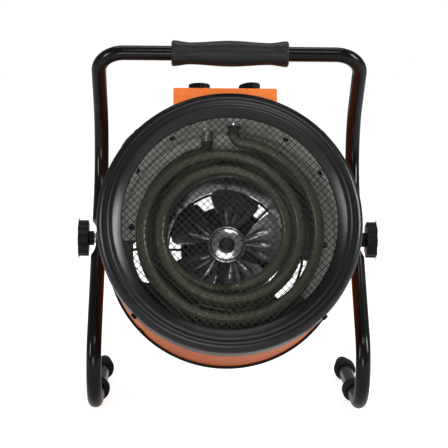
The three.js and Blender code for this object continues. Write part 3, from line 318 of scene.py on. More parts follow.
def addNode(tree, kind, links=None, **settings):
    node = tree.nodes.new(kind)
    for name, value in settings.items():
        setattr(node, name, value)
    feed(tree, node, links or {})
    return node


def mixColours(tree, factor, first, second, blend="MIX"):
    # the colour sockets of a Mix node share their names with the float ones, so they go by number
    return addNode(tree, "ShaderNodeMix", {0: factor, 6: first, 7: second},
                   data_type="RGBA", blend_type=blend).outputs[2]


def reckon(tree, operation, *values, clamp=False):
    return addNode(tree, "ShaderNodeMath", dict(enumerate(values)), operation=operation,
                   use_clamp=clamp).outputs[0]


def makeGrain():
    # fine grain with broad patches: colour, roughness and normal of paint, plastic and steel
    group, given, where = newGroup("fineGrain", {
        "Colour": (0.5, 0.5, 0.5, 1), "Patch Colour": (0.4, 0.4, 0.4, 1), "Patch Scale": 20,
        "Grain Scale": 900, "Roughness": 0.3, "Roughness Spread": 0.1, "Grain Height": 0.2,
    }, {"Colour": "Color", "Roughness": "Float", "Normal": "Vector"})
    patches, grain = [
        addNode(group, "ShaderNodeTexNoise",
                {"Vector": where, "Scale": given[scale], "Detail": detail}).outputs["Fac"]
        for scale, detail in (("Patch Scale", 4.0), ("Grain Scale", 2.0))]
    colour = mixColours(group, patches, given["Colour"], given["Patch Colour"])
    spread = reckon(group, "SUBTRACT", patches, 0.5)
    rough = reckon(group, "MULTIPLY_ADD", spread, given["Roughness Spread"], given["Roughness"],
                   clamp=True)
    bump = addNode(group, "ShaderNodeBump", {"Height": grain, "Strength": given["Grain Height"],
                                             "Distance": 0.0002})
    addNode(group, "NodeGroupOutput", {"Colour": colour, "Roughness": rough,
                                       "Normal": bump.outputs["Normal"]})
    return group


def makeEdgeWear():
    # lighter, scuffed colour on outward edges
    group, given, where = newGroup("edgeWear", {
        "Colour": (0.5, 0.5, 0.5, 1), "Worn Colour": (0.7, 0.7, 0.7, 1), "Wear": 0.5,
    }, {"Colour": "Color"})
    pointed = addNode(group, "ShaderNodeNewGeometry").outputs["Pointiness"]
    edge = addNode(group, "ShaderNodeMapRange", {"Value": pointed, "From Min": 0.52,
                                                 "From Max": 0.6})
    scuffs = addNode(group, "ShaderNodeTexNoise", {"Vector": where, "Scale": 140.0,
                                                   "Detail": 5.0})
    amount = reckon(group, "MULTIPLY", edge.outputs["Result"], scuffs.outputs["Fac"])
    worn = reckon(group, "MULTIPLY", amount, given["Wear"])
    mixed = mixColours(group, worn, given["Colour"], given["Worn Colour"])
    addNode(group, "NodeGroupOutput", {"Colour": mixed})
    return group


fineGrain = makeGrain()
edgeWear = makeEdgeWear()


def plain(red, green, blue):
    # an sRGB colour, 0-255, as linear
    def linear(value):
        value /= 255
        return value / 12.92 if value <= 0.04045 else ((value + 0.055) / 1.055) ** 2.4
    return (linear(red), linear(green), linear(blue), 1)


def finishOf(name, colour, patch, roughness, spread=0.08, metallic=0.0, patchScale=18.0,
             grainScale=900.0, grainHeight=0.15, wornColour=None, wear=0.4, specular=0.5):
    material = bpy.data.materials.new(name)
    material.use_nodes = True
    tree = material.node_tree
    grain = addNode(tree, "ShaderNodeGroup", {
        "Colour": plain(*colour), "Patch Colour": plain(*patch), "Patch Scale": patchScale,
        "Grain Scale": grainScale, "Roughness": roughness, "Roughness Spread": spread,
        "Grain Height": grainHeight}, node_tree=fineGrain).outputs
    shown = grain["Colour"]
    if wornColour:
        shown = addNode(tree, "ShaderNodeGroup", {
            "Colour": shown, "Worn Colour": plain(*wornColour), "Wear": wear},
            node_tree=edgeWear).outputs["Colour"]
    feed(tree, tree.nodes["Principled BSDF"], {
        "Base Color": shown, "Roughness": grain["Roughness"], "Normal": grain["Normal"],
        "Metallic": metallic, "Specular IOR Level": specular})
    return material


glossPaint = finishOf("glossBlackPaint", (9, 9, 10), (14, 14, 15), 0.18, 0.06,
                      grainScale=420.0, grainHeight=0.04, wornColour=(40, 40, 42), specular=0.22)
satinPaint = finishOf("satinBlackPaint", (7, 7, 8), (10, 10, 11), 0.3, 0.05,
                      grainScale=700.0, grainHeight=0.06, wornColour=(40, 40, 42), specular=0.4)
orangePaint = finishOf("orangePaint", (240, 110, 16), (230, 100, 12), 0.4, 0.06,
                       grainScale=520.0, grainHeight=0.07, wornColour=(255, 190, 130), wear=0.6,
                       specular=0.12)
softGrip = finishOf("gripRubber", (26, 26, 27), (34, 34, 35), 0.44, 0.06,
                    grainScale=1600.0, grainHeight=0.25, wornColour=(60, 60, 62),
                    specular=0.25)
knobPlastic = finishOf("knobPlastic", (12, 12, 13), (17, 17, 18), 0.4, 0.08,
                       grainScale=1500.0, grainHeight=0.2, wornColour=(50, 50, 52),
                       specular=0.15)
footRubber = finishOf("footRubber", (12, 12, 12), (22, 22, 22), 0.62, 0.1,
                      grainScale=1100.0, grainHeight=0.3, specular=0.3)
cordRubber = finishOf("cordSheath", (14, 14, 15), (22, 22, 23), 0.4, 0.08,
                      grainScale=800.0, grainHeight=0.15, specular=0.3)
netWire = finishOf("netWire", (26, 26, 25), (38, 38, 36), 0.32, 0.12, metallic=0.3,
                   patchScale=60.0, grainHeight=0.05)
brightSteel = finishOf("brightSteel", (214, 214, 216), (190, 191, 194), 0.16, 0.1, metallic=1.0,
                       patchScale=70.0, grainHeight=0.06)
platedSteel = finishOf("platedSteel", (186, 186, 184), (160, 160, 158), 0.3, 0.12, metallic=1.0,
                       patchScale=90.0, grainHeight=0.1)
# dark steel; on the bulkhead, beside the galvanised band of painted light, it stands as painted
# shade
tunnelSteel = finishOf("tunnelSteel", (92, 93, 89), (66, 67, 64), 0.34, 0.1, metallic=0.7,
                       patchScale=40.0, grainHeight=0.12)
fanSteel = finishOf("fanSteel", (176, 177, 178), (118, 119, 120), 0.24, 0.12, metallic=0.9,
                    patchScale=55.0, grainHeight=0.08)
elementSheath = finishOf("elementSheath", (88, 92, 72), (58, 62, 48), 0.32, 0.14,
                         metallic=0.4, patchScale=120.0, grainScale=1400.0, grainHeight=0.3)
ceramicWhite = finishOf("ceramicWhite", (226, 222, 210), (208, 202, 188), 0.5, 0.1,
                        patchScale=60.0, grainHeight=0.2)
motorPaint = finishOf("motorPaint", (36, 37, 39), (48, 49, 51), 0.36, 0.1, metallic=0.3,
                      grainHeight=0.2, wornColour=(96, 97, 99))
markWhite = finishOf("markWhite", (232, 232, 228), (220, 220, 216), 0.5, 0.05,
                     grainHeight=0.05)


def makeSpangle():
    # zinc crystals: facets of slightly different grey, on bright sheet
    material = finishOf("galvanisedSheet", (236, 234, 226), (214, 212, 205), 0.42, 0.1,
                        metallic=0.1, patchScale=16.0, grainHeight=0.05)
    tree = material.node_tree
    grain = next(node for node in tree.nodes if node.type == "GROUP")
    where = addNode(tree, "ShaderNodeTexCoord").outputs["Object"]
    crystals = addNode(tree, "ShaderNodeTexVoronoi", {"Vector": where, "Scale": 110.0})
    tone = addNode(tree, "ShaderNodeMapRange", {"Value": crystals.outputs["Color"],
                                                "To Min": 0.78, "To Max": 1.0})
    mixed = mixColours(tree, 1.0, grain.outputs["Colour"], tone.outputs["Result"], "MULTIPLY")
    feed(tree, tree.nodes["Principled BSDF"], {"Base Color": mixed})
    return material


galvanised = makeSpangle()
print("finishes made")

setCamera()
print("camera set")

# Mains cord: out of the gland, four layers of turns behind the drum, and down to the plug.

cordData = {"diameter": 8, "gap": 0.8, "coilX": -79, "coilZ": 101, "coilRadius": 47, "layers": 4,
            "turnsPerLayer": 1.38, "start": 80, "firstLayer": 167.8, "glandX": -29,
            "glandBack": 135.6, "leadBend": 32, "tailX": -38, "tailBend": 32, "tailDrop": 58,
            "perTurn": 36}


def coilAt(angle):
    d = cordData
    pitch, perLayer = d["diameter"] + d["gap"], d["turnsPerLayer"] * fullTurn
    layer = min(int(angle / perLayer), d["layers"] - 1)
    inLayer = (angle - layer * perLayer) / fullTurn
    inward = d["turnsPerLayer"] - inLayer if layer % 2 else inLayer
    radius = d["coilRadius"] - inward * pitch
    depth = d["firstLayer"]
    for k in range(1, d["layers"]):
        depth += pitch * smoothStep(angle, k * perLayer - pi / 2, k * perLayer + pi / 2)
    around = radians(d["start"]) + angle
    return inHead(d["coilX"] + radius * cos(around), depth,
                  d["coilZ"] + radius * sin(around))


def cordRoute():
    d = cordData
    whole = d["layers"] * d["turnsPerLayer"] * fullTurn
    steps = round(whole / fullTurn * d["perTurn"])
    turns = [coilAt(whole * i / steps) for i in range(steps + 1)]

    def beyond(angle, by):
        around = radians(d["start"]) + angle
        return coilAt(angle) + Vector((-sin(around), 0, cos(around))) * by

    first, last = beyond(0, -d["diameter"]), beyond(whole, d["diameter"])
    height = first.z + (d["glandX"] - first.x) * tan(radians(d["start"] + 90))
    start, corner = [inHead(d["glandX"], depth, height)
                     for depth in (d["glandBack"], d["firstLayer"])]
    lead = roundedPath([(start, 0), (corner, d["leadBend"]), (first, 0)], 8)
    corner = Vector((d["tailX"], last.y, last.z))
    tilt = radians(headSetting["tilt"])
    down = Vector((0, sin(tilt), -cos(tilt)))
    foot = corner + down * d["tailDrop"]
    tail = roundedPath([(last, 0), (corner, d["tailBend"]), (foot, 0)], 8)
    return lead[:-1] + [first] + turns + [last] + tail[1:], foot, down, height


cordLine, cordFoot, cordDown, glandZ = cordRoute()
worldLine = [headPlace @ (point * mm) for point in cordLine]
mainsCord = tubesAlong("mainsCord", [[point / mm for point in worldLine]],
                       cordData["diameter"] / 2, 16)
finishPiece(mainsCord, cordRubber, "head", ("cord_lead", "cord_coil", "cord_tail"))

# Plug: round moulded body with a ribbed waist, a face rim and two pins.

plugData = {"radius": 18, "length": 40, "neck": 7, "ribs": 5, "ribPitch": 2.6, "ribDepth": 1.2,
            "taper": 0.3, "shoulder": 15, "pin": 2.4, "pinLength": 19, "pinSpacing": 19,
            "pinRound": 1.6}
plugPlace = headPlace @ shiftTo(cordFoot) @ Vector((0, 1, 0)).rotation_difference(
    cordDown).to_matrix().to_4x4()


def makePlug():
    d = plugData
    r, length, shoulder = d["radius"], d["length"], d["shoulder"]
    outline = [(0, 0.4)]
    for rib in range(d["ribs"]):  # ribs of the moulded sleeve
        high, at = d["neck"] - 0.4 + d["taper"] * rib, rib * d["ribPitch"]
        outline += [(high - d["ribDepth"], at + 0.4), (high, at + 0.9), (high, at + 2)]
    outline += [(d["neck"] + 1.2, shoulder - 1.4), (d["neck"] + 3, shoulder)]
    outline += arc((r - 4, shoulder + 6), 4, -60, 0, 5)
    outline += [(r - inward, length - back) for inward, back in (  # a groove and a rimmed face
        (0, 8), (0.6, 7.4), (0.6, 6.4), (0, 5.8), (0, 0.8), (0.8, 0), (2.4, 0), (2.4, 1), (r, 1))]
    body = lathe("plugBody", outline, 72, shut=False)
    roundEdges(body, 0.3)
    pieces = [finishPiece(body, knobPlastic, "head", ("plug_body",), plugPlace)]
    r, soft, start = d["pin"], d["pinRound"], length + 0.3
    end = start + d["pinLength"]
    outline = [(0, start), (r, start), (r, end - soft)]
    outline += arc((r - soft, end - soft), soft, 0, 90, 5) + [(0, end)]
    for (side, hand), node in zip(hands, ("plug_pin_a", "plug_pin_b")):
        pin = lathe("plugPin" + hand.title(), outline, 32, shut=False)
        place = plugPlace @ shiftTo((side * d["pinSpacing"] / 2, 0, 0))
        pieces.append(finishPiece(pin, brightSteel, "head", (node,), place))
    return pieces


plugPieces = makePlug()

# Gland and tapered strain relief on the back of the box.

glandData = {"boxBack": 115, "flangeRadius": 8.6, "flange": 2.4, "nose": 6.6, "tip": 4.6,
             "length": 20, "ribs": 6, "ribDepth": 0.9}


def makeGland():
    d = glandData
    start, end = d["boxBack"] + 0.1, d["boxBack"] + d["length"]
    outline = [(0, start), (d["flangeRadius"], start), (d["flangeRadius"], start + d["flange"])]
    pitch = (d["length"] - d["flange"]) / d["ribs"]
    for rib in range(d["ribs"]):
        at = start + d["flange"] + rib * pitch
        high = d["nose"] - (d["nose"] - d["tip"]) * rib / d["ribs"]
        low = high - d["ribDepth"]
        outline += [(low, at + 0.2), (low, at + 0.9), (high, at + 1.1), (high, at + pitch - 0.1)]
    gland = headLathe("cordGland", outline + [(d["tip"], end), (0, end)], 48)
    roundEdges(gland, 0.25)
    finishPiece(gland, knobPlastic, "head", ("cord_gland",),
                headPlace @ shiftTo((cordData["glandX"], 0, glandZ)))


makeGland()
print("plug and gland made")

# Stand: one bent tube with its pressed flats, plugs, rubber rings and the grip.

standData = {"tube": 16, "wall": 1.5, "width": 285, "baseHeight": 12.5, "slope": 46, "toe": 46,
             "elbowHeight": 272, "elbow": 80, "handleForward": 18, "handleHeight": 386,
             "handleCorner": 28, "baseEnd": 122.5, "flatThickness": 5, "flatLength": 34,
             "flatBlend": 7, "flatFace": 2.5}
pivotPoint = Vector((0, 0, headSetting["pivotHeight"]))
legWay = Vector((0, cos(radians(standData["slope"])),
                 sin(radians(standData["slope"]))))
sideX = standData["width"] / 2


def standSide(x):
    d = standData

    def atHeight(z):
        point = pivotPoint + legWay * ((z - pivotPoint.z) / legWay.z)
        return (x, point.y, point.z)

    reach = d["flatLength"] / 2 + d["flatBlend"]
    flats = [pivotPoint + legWay * (reach * step / 6) for step in range(-6, 7)]
    return [((x, d["baseEnd"], d["baseHeight"]), 0), (atHeight(d["baseHeight"]), d["toe"]),
            *[((x, point.y, point.z), 0) for point in flats],
            (atHeight(d["elbowHeight"]), d["elbow"]),
            ((x, -d["handleForward"], d["handleHeight"]), d["handleCorner"])]


def pressed(point):
    # a round section pressed to a flat with round edges, near the pivots only
    d, point = standData, point / mm
    half, edge = d["flatLength"] / 2, d["flatThickness"] / 2
    straight = pi * (d["tube"] - d["flatThickness"]) / 4
    across = Vector((0, -legWay.z, legWay.y))
    side = copysign(1, point.x)
    out = abs(point.x) - sideX
    away = Vector((0, point.y, point.z)) - pivotPoint
    along, aside = abs(away.dot(legWay)), away.dot(across)
    if along > half + d["flatBlend"] or abs(aside) > d["tube"]:
        return point * mm
    amount = 1 - smoothStep(along, half, half + d["flatBlend"])
    angle = atan2(abs(aside), abs(out))
    bend = max(0, 2 * (angle - pi / 4))
    flatAside = straight * min(1, angle / (pi / 4)) + edge * sin(bend)
    flatOut = d["flatFace"] - edge + copysign(1, out) * edge * cos(bend)
    point += across * ((copysign(flatAside, aside) - aside) * amount)
    point.x = side * (sideX + out + (flatOut - out) * amount)
    return point * mm


def makeFrameTube():
    route = roundedPath(standSide(-sideX) + standSide(sideX)[::-1], 4)
    tube = tubesAlong("frameTube", [route], standData["tube"] / 2, 32, caps=False)
    moveVertices(tube, pressed)
    applyModifier(tube, "SOLIDIFY", thickness=standData["wall"] * mm, offset=-1)
    finishPiece(tube, glossPaint, "stand", ("frame_tube",), standPlace, sharp=60)


makeFrameTube()

gripData = {"length": 126.6, "full": 14, "waist": 11.9, "waistAt": 43, "endRound": 1.6,
            "bore": 8.1, "steps": 48}


def makeGrip():
    d = gripData
    full, waist, waistAt, steps = d["full"], d["waist"], d["waistAt"], d["steps"]
    half = d["length"] / 2
    shoulder, lip = half - d["endRound"], full - d["endRound"]

    def swell(distance):
        if distance < waistAt:
            return full + (waist - full) * smoothStep(distance, 0, waistAt)
        return waist + (full - waist) * smoothStep(distance, waistAt, shoulder)

    stations = [shoulder * (2 * i / steps - 1) for i in range(steps + 1)]
    surface = [(swell(abs(at)), at) for at in stations]
    grip = lathe("handleGrip", [(d["bore"], -half), (lip, -half), *surface, (lip, half),
                                (d["bore"], half)], 96)
    roundEdges(grip, 0.5)
    place = standPlace @ shiftTo((0, -standData["handleForward"], standData["handleHeight"]))
    finishPiece(grip, softGrip, "stand", ("handle_grip",), place @ turnBy(90, "Z"), sharp=40)


makeGrip()

footData = {"radius": 12.5, "width": 13, "round": 2.4, "bore": 8.05, "groove": 0.7,
            "grooveWidth": 3.2, "stations": (-8, 92)}


def onBase(side, station):
    return standPlace @ shiftTo((side * sideX, station, standData["baseHeight"]))


def makeFeet():
    d = footData
    r, half, soft, wide = d["radius"], d["width"] / 2, d["round"], d["grooveWidth"] / 2
    low, narrow = r - d["groove"], wide - d["groove"]
    outline = [(d["bore"], -half)] + arc((r - soft, -half + soft), soft, -90, 0, 6)
    outline += [(r, -wide), (low, -narrow), (low, narrow), (r, wide)]
    outline += arc((r - soft, half - soft), soft, 0, 90, 6) + [(d["bore"], half)]
    placeCopies(lathe("footModel", outline, 72), footRubber, "stand", {
        f"foot_{row}_{hand}": onBase(side, station)
        for side, hand in hands for station, row in zip(d["stations"], ("front", "rear"))})


makeFeet()

plugEndData = {"cap": 3.2, "capRound": 2.2, "stem": 10, "stemTaper": 8}


def makeEndPlugs():
    d = plugEndData
    r = standData["tube"] / 2
    inner = r - standData["wall"] - 0.1
    outline = [(0, -d["stem"]), (inner - 0.6, -d["stem"]), (inner, -d["stemTaper"]), (inner, 0.05),
               (r + 0.3, 0.05), (r + 0.3, 0.9)]
    outline += arc((r + 0.3 - d["capRound"], 1), d["capRound"], 0, 80, 6) + [(0, d["cap"])]
    placeCopies(lathe("endPlugModel", outline, 48, shut=False), knobPlastic, "stand", {
        f"end_plug_{hand}": onBase(side, standData["baseEnd"]) for side, hand in hands})


makeEndPlugs()
print("stand made")

# Clamps: star knob with a ribbed hub, bright collar with a washer, threaded stud, and the boss.

clampData = {"collar": 5.4, "collarLength": 2.7, "washer": 1.6, "hub": 8, "hubLength": 5.3,
             "hubRibs": 9, "hubFlute": 0.1, "star": 20, "thickness": 11.2, "lobes": 8,
             "lobeDepth": 2.6, "blunt": 0.7, "stud": 4, "studStart": 125.8, "studGrip": 9,
             "threads": 38, "threadPitch": 0.6, "threadDepth": 0.35, "boss": 10, "bossInner": 130,
             "gap": 0.3,
             # width and depth of each inset of the star's face: a sunk ring, a raised middle
             "insets": ((3.4, 0), (1.2, -1.4), (5.5, 0), (0.8, 1.2))}


def makeStar(start):
    # a disc whose rim is drawn in between the lobes, then raised, dished and bevelled
    d = clampData
    star = addShape("starModel", bpy.ops.mesh.primitive_circle_add, vertices=d["lobes"] * 20,
                    radius=d["star"] * mm, fill_type="NGON", location=(0, 0, start * mm))

    def lobed(point):
        lobe = (1 + cos(d["lobes"] * atan2(point.y, point.x))) / 2
        drawn = 1 - d["lobeDepth"] / d["star"] * (1 - lobe ** d["blunt"])
        return Vector((point.x * drawn, point.y * drawn, point.z))

    moveVertices(star, lobed)
    editAll(star)
    bpy.ops.mesh.extrude_region_move(
        TRANSFORM_OT_translate={"value": (0, 0, d["thickness"] * mm)})
    for width, depth in d["insets"]:
        bpy.ops.mesh.inset(thickness=width * mm, depth=depth * mm)
    bpy.ops.mesh.select_all(action="SELECT")
    bpy.ops.mesh.normals_make_consistent(inside=False)
    bpy.ops.object.mode_set(mode="OBJECT")
    roundEdges(star, 1.1, 4, 50)
    return star


def makeHub(start):
    d = clampData
    hub = addShape("hubModel", bpy.ops.mesh.primitive_cylinder_add, vertices=d["hubRibs"] * 12,
                   radius=d["hub"] * mm, depth=(d["hubLength"] + 1) * mm,
                   location=(0, 0, (start + d["hubLength"] / 2) * mm))

    def ribbed(point):
        wave = 0.5 - 0.5 * cos(d["hubRibs"] * 2 * atan2(point.y, point.x))
        drawn = 1 - d["hubFlute"] * smoothStep(wave, 0.25, 0.75)
        return Vector((point.x * drawn, point.y * drawn, point.z))

    moveVertices(hub, ribbed)
    roundEdges(hub, 0.3, 2, 60)
    return hub


def makeClamps():
    d = clampData
    outside = sideX + standData["flatFace"]
    collarStart = outside + d["gap"]
    hubStart = collarStart + d["collarLength"] + d["gap"]
    knob = joinPieces("knobModel", [makeStar(hubStart + d["hubLength"]), makeHub(hubStart)])
    knob.matrix_world = turnBy(90, "Y")  # the star's axis to +X
    inner, rim, washer = d["stud"], d["collar"], d["collar"] + d["washer"]
    collar = lathe("collarModel", [
        (inner, collarStart - 0.2), (washer, collarStart - 0.2), (washer, collarStart + 0.7),
        (rim, collarStart + 0.7), (rim, hubStart), (inner, hubStart)], 64)
    roundEdges(collar, 0.2)
    start, end = d["studStart"], hubStart + d["studGrip"]
    threads = [(inner - d["threadDepth"] * (i % 2), start + 1.6 + i * d["threadPitch"])
               for i in range(d["threads"])]
    stud = lathe("studModel", [(0, start), (inner - 0.6, start), (inner, start + 0.8), *threads,
                               (inner, end), (0, end)], 40, shut=False)
    bossStart, bossEnd = d["bossInner"], outside - standData["flatThickness"] - d["gap"]
    boss = lathe("bossModel", [(inner, bossStart), (d["boss"], bossStart), (d["boss"], bossEnd - 1),
                               (d["boss"] - 1, bossEnd), (inner, bossEnd)], 64)
    roundEdges(boss, 0.3)
    pivot = standPlace @ shiftTo(pivotPoint)
    for side, hand in hands:
        turned = pivot @ turnBy(90 - 90 * side, "Z")
        for model, part, material, body, way in (
                (knob, "clamp_knob", knobPlastic, f"clamp_{hand}", Matrix.Identity(4)),
                (collar, "clamp_collar", brightSteel, f"clamp_{hand}", alongX),
                (stud, "clamp_stud", platedSteel, f"clamp_{hand}", alongX),
                (boss, "pivot_boss", platedSteel, "head", alongX)):
            node = f"{part}_{hand}"
            piece = copyPiece(model, camelCase(node), turned @ way)
            finishPiece(piece, material, body, (node,))
    for model in (knob, collar, stud, boss):
        bpy.data.objects.remove(model)


makeClamps()
print("clamps made")

# Screws: a pan head with a cross recess, modelled once and copied.

screwData = {"radius": 3.4, "height": 2.4, "recess": 0.7, "recessLength": 3.6, "recessDepth": 1.1}


def makeScrewModel():
    # its axis is +Z and its seat is at the origin
    d = screwData
    r, height = d["radius"] * mm, d["height"] * mm
    screw = addShape("screwModel", bpy.ops.mesh.primitive_cylinder_add, vertices=32, radius=r,
                     depth=height, location=(0, 0, height / 2))
    selectFaces(screw, lambda centre, normal: normal.z > 0.9)
    bpy.ops.mesh.inset(thickness=r * 0.28, depth=0)
    bpy.ops.transform.translate(value=(0, 0, height * 0.3))
    bpy.ops.object.mode_set(mode="OBJECT")
    roundEdges(screw, 0.5, 3, 25)
    for turned in (0, pi / 2):
        size = (d["recessLength"], d["recess"], 2 * d["recessDepth"])
        cutAway(screw, addCube("recessCutter", size, (0, 0, 1.3 * d["height"]), turned))
    return screw


screwModel = makeScrewModel()


def placeScrew(name, at, outward, material, scale=1.0):
    # at and outward in the head's own frame, millimetres
    turn = Vector((0, 0, 1)).rotation_difference(Vector(outward)).to_matrix().to_4x4()
    place = headPlace @ shiftTo(at) @ turn @ Matrix.Scale(scale, 4)
    finishPiece(copyPiece(screwModel, name, place), material, "head")


def screwsRound(prefix, angles, radius, depth, material, scale=1.0, facing="out"):
    for i, angle in enumerate(angles):
        at = atAngle(radius, angle, depth)
        outward = Vector((at.x, 0, at.z)).normalized()
        way = {"out": outward, "in": -outward, "front": (0, -1, 0)}[facing]
        placeScrew(f"{prefix}{i + 1}", at, way, material, scale)


# Drum: orange shell, bezel with its roll and groove, and the black trim behind.

drumData = {"radius": 134, "sheet": 1.2, "front": 15.1, "end": 158, "frontLip": 121,
            "rearLip": 126, "lap": 0.3}
bezelData = {"radius": 140.5, "wall": 1.6, "mouth": 114.5, "mouthDepth": 10, "rim": 4,
             "cone": 124.3, "coneDepth": 2.4, "groove": 126.4, "grooveDepth": 5.2, "roll": 8,
             "skirt": 30, "swell": 0.35, "hollow": 0.97, "screwDepth": 19}
trimData = {"radius": 136.8, "round": 3, "front": 156, "back": 163.2, "opening": 124.5,
            "flange": 161.6, "screwDepth": 151}


def makeBody():
    d = drumData
    r, sheet, front, end, lip = d["radius"], d["sheet"], d["front"], d["end"], d["frontLip"]
    headPiece("body_shell", [
        (lip, front), (r - 1, front), (r, front + 1), (r, end - 1), (r - 1, end),
        (d["rearLip"], end), (d["rearLip"], end - sheet), (r - sheet, end - sheet),
        (r - sheet, front + sheet), (lip, front + sheet)], orangePaint, 144)


def makeBezel():
    d = bezelData
    r, roll, wall, skirt = d["radius"], d["roll"], d["wall"], d["skirt"]
    mouth, mouthDepth, cone, coneDepth = d["mouth"], d["mouthDepth"], d["cone"], d["coneDepth"]
    lap, groove = drumData["radius"] + drumData["lap"], d["groove"] + 1.4
    outline = []
    for step in range(11):  # the face between mouth and groove swells a little
        t = step / 10
        swell = d["swell"] * sin(pi * t)
        outline.append((mouth + (cone - mouth) * t - 0.2 * swell,
                        mouthDepth + (coneDepth - mouthDepth) * t - swell))
    for step in range(1, 5):  # a soft hollow joins the face to the roll
        t = step / 5
        outline.append((cone + (groove - cone) * t, coneDepth + 0.1 * t - d["hollow"] * t * t))
    outline += arc((r - roll, roll), roll, -126, 0, 24)
    outline += [(r, skirt - 0.8), (r - 0.8, skirt), (lap, skirt), (lap, skirt - wall),
                (r - wall, skirt - wall)]
    outline += arc((r - roll, roll), roll - wall, 0, -120, 8)
    inside = mouthDepth + wall
    outline += [(d["groove"], d["grooveDepth"] + wall), (mouth + d["rim"], inside),
                (mouth + 0.6, inside), (mouth - 0.2, mouthDepth + 0.8)]
    headPiece("bezel_ring", outline, satinPaint, 192, sharp=50)
    screwsRound("bezelScrew", quarters, r - 0.2, d["screwDepth"], knobPlastic)


def makeTrim():
    d = trimData
    r, front, back, flange, opening = d["radius"], d["front"], d["back"], d["flange"], d["opening"]
    skirt, soft = drumData["radius"] + drumData["lap"], d["round"]
    outline = [(skirt, front), (r - 0.8, front), (r, front + 0.8)]
    outline += arc((r - soft, back - soft), soft, 0, 90, 6)
    outline += [(opening + 1, back), (opening, back - 0.8), (opening, flange), (skirt, flange)]
    headPiece("rear_trim", outline, knobPlastic, 144)
    screwsRound("trimScrew", quarters, drumData["radius"] - 0.2, d["screwDepth"], knobPlastic)


makeBody()
makeBezel()
makeTrim()
print("drum made")

# Front net: woven wires set diagonally, trimmed to a circle and held in a flat rim.

netData = {"wire": 0.85, "pitch": 5.5, "radius": 120, "rim": 4, "rimSheet": 1.2, "depth": 12.6,
           "wave": 0.42}


def makeNet():
    d = netData
    r, rim, depth, pitch = d["radius"], d["rim"], d["depth"], d["pitch"]
    inside, wires = r - rim + 1, []
    count = int(inside / pitch)
    for family, slant in enumerate((135, 45)):
        turn = radians(slant)
        along = Vector((cos(turn), 0, sin(turn)))
        aside = Vector((-sin(turn), 0, cos(turn)))
        for i in range(-count, count + 1):
            last = int(sqrt(max(0, inside ** 2 - (i * pitch) ** 2)) / (pitch / 2))
            if last < 2:
                continue
            wires.append([])
            for k in range(-last, last + 1):
                # over and under at the crossings, level between them
                over = (1 if (k // 2 + i + family) % 2 else -1) if k % 2 == 0 else 0
                at = along * (k * pitch / 2) + aside * (i * pitch)
                wires[-1].append((at.x, inHead(0, depth, 0).y + over * d["wave"], at.z))
    net = tubesAlong("frontNet", wires, d["wire"] / 2, 6, caps=False)
    front, back = depth - d["rimSheet"] / 2, depth + d["rimSheet"] / 2
    ring = headLathe("netRim", [(r - rim, front), (r, front), (r, back), (r - rim, back)])
    finishPiece(joinPieces("frontNet", [net, ring]), netWire, "head", ("front_net",), headPlace,
                sharp=60)


makeNet()
print("net woven")

# Reflector, bulkhead and tunnel.

linerData = {"radius": 117, "flange": 130.5, "lip": 109, "front": 13.4, "back": 84.9,
             "sheet": 1.2, "beads": (68, 60), "beadHeight": 0.9, "screwDepth": 38,
             "screws": (32, 58, 122, 148, 212, 328)}
# slots: start and end angle, inner and outer radius
tunnelData = {"bulkhead": 82.6, "dish": 5, "radius": 66.5, "round": 4, "end": 147, "flare": 8,
              "sheet": 1.2, "bead": (90, 99), "beadHeight": 0.9, "screws": (-5, 85, 175, 265),
              # radius and arc of the bulkhead's bright galvanised band, painted light; outside it
              # the dark steel is painted shade
              "screwRadius": 106.5, "paintedLightFrom": 97.5, "brightArc": (-38, 184),
              "slots": ((184, 211, 92, 107), (246, 273, 81, 92), (306, 343, 80, 103))}


def makeLiner():
    d = linerData
    r, front, back, sheet = d["radius"], d["front"], d["back"], d["sheet"]
    outline = [(r + 0.6, front), (d["flange"], front), (d["flange"], front + sheet),
               (r + sheet, front + sheet), (r + sheet, back + sheet), (d["lip"], back + sheet),
               (d["lip"], back), (r, back)]
    low = r - d["beadHeight"]
    for bead in d["beads"]:  # rolled beads stiffen the sheet
        outline += [(r, bead), (low, bead - 1.2), (low, bead - 2.4), (r, bead - 3.6)]
    headPiece("reflector_liner", outline + [(r, front + 0.6)], galvanised)
    screwsRound("linerScrew", d["screws"], r + 0.1, d["screwDepth"], knobPlastic, 0.9, "in")


def makeSlot(start, end, inner, outer, depth):
    # an arched slot with rounded corners, cut right through the sheet
    slot = addShape("slotCutter", bpy.ops.mesh.primitive_grid_add, x_subdivisions=24,
                    y_subdivisions=1, size=2)

    def arched(point):
        half = (outer - inner) / 2 * (0.3 + 0.7 * (1 - abs(point.x) ** 8))
        return atAngle((inner + outer) / 2 + half * point.y,
                       (start + end) / 2 + (end - start) / 2 * point.x, depth) * mm

    moveVertices(slot, arched)
    applyModifier(slot, "SOLIDIFY", thickness=24 * mm, offset=0)
    return slot


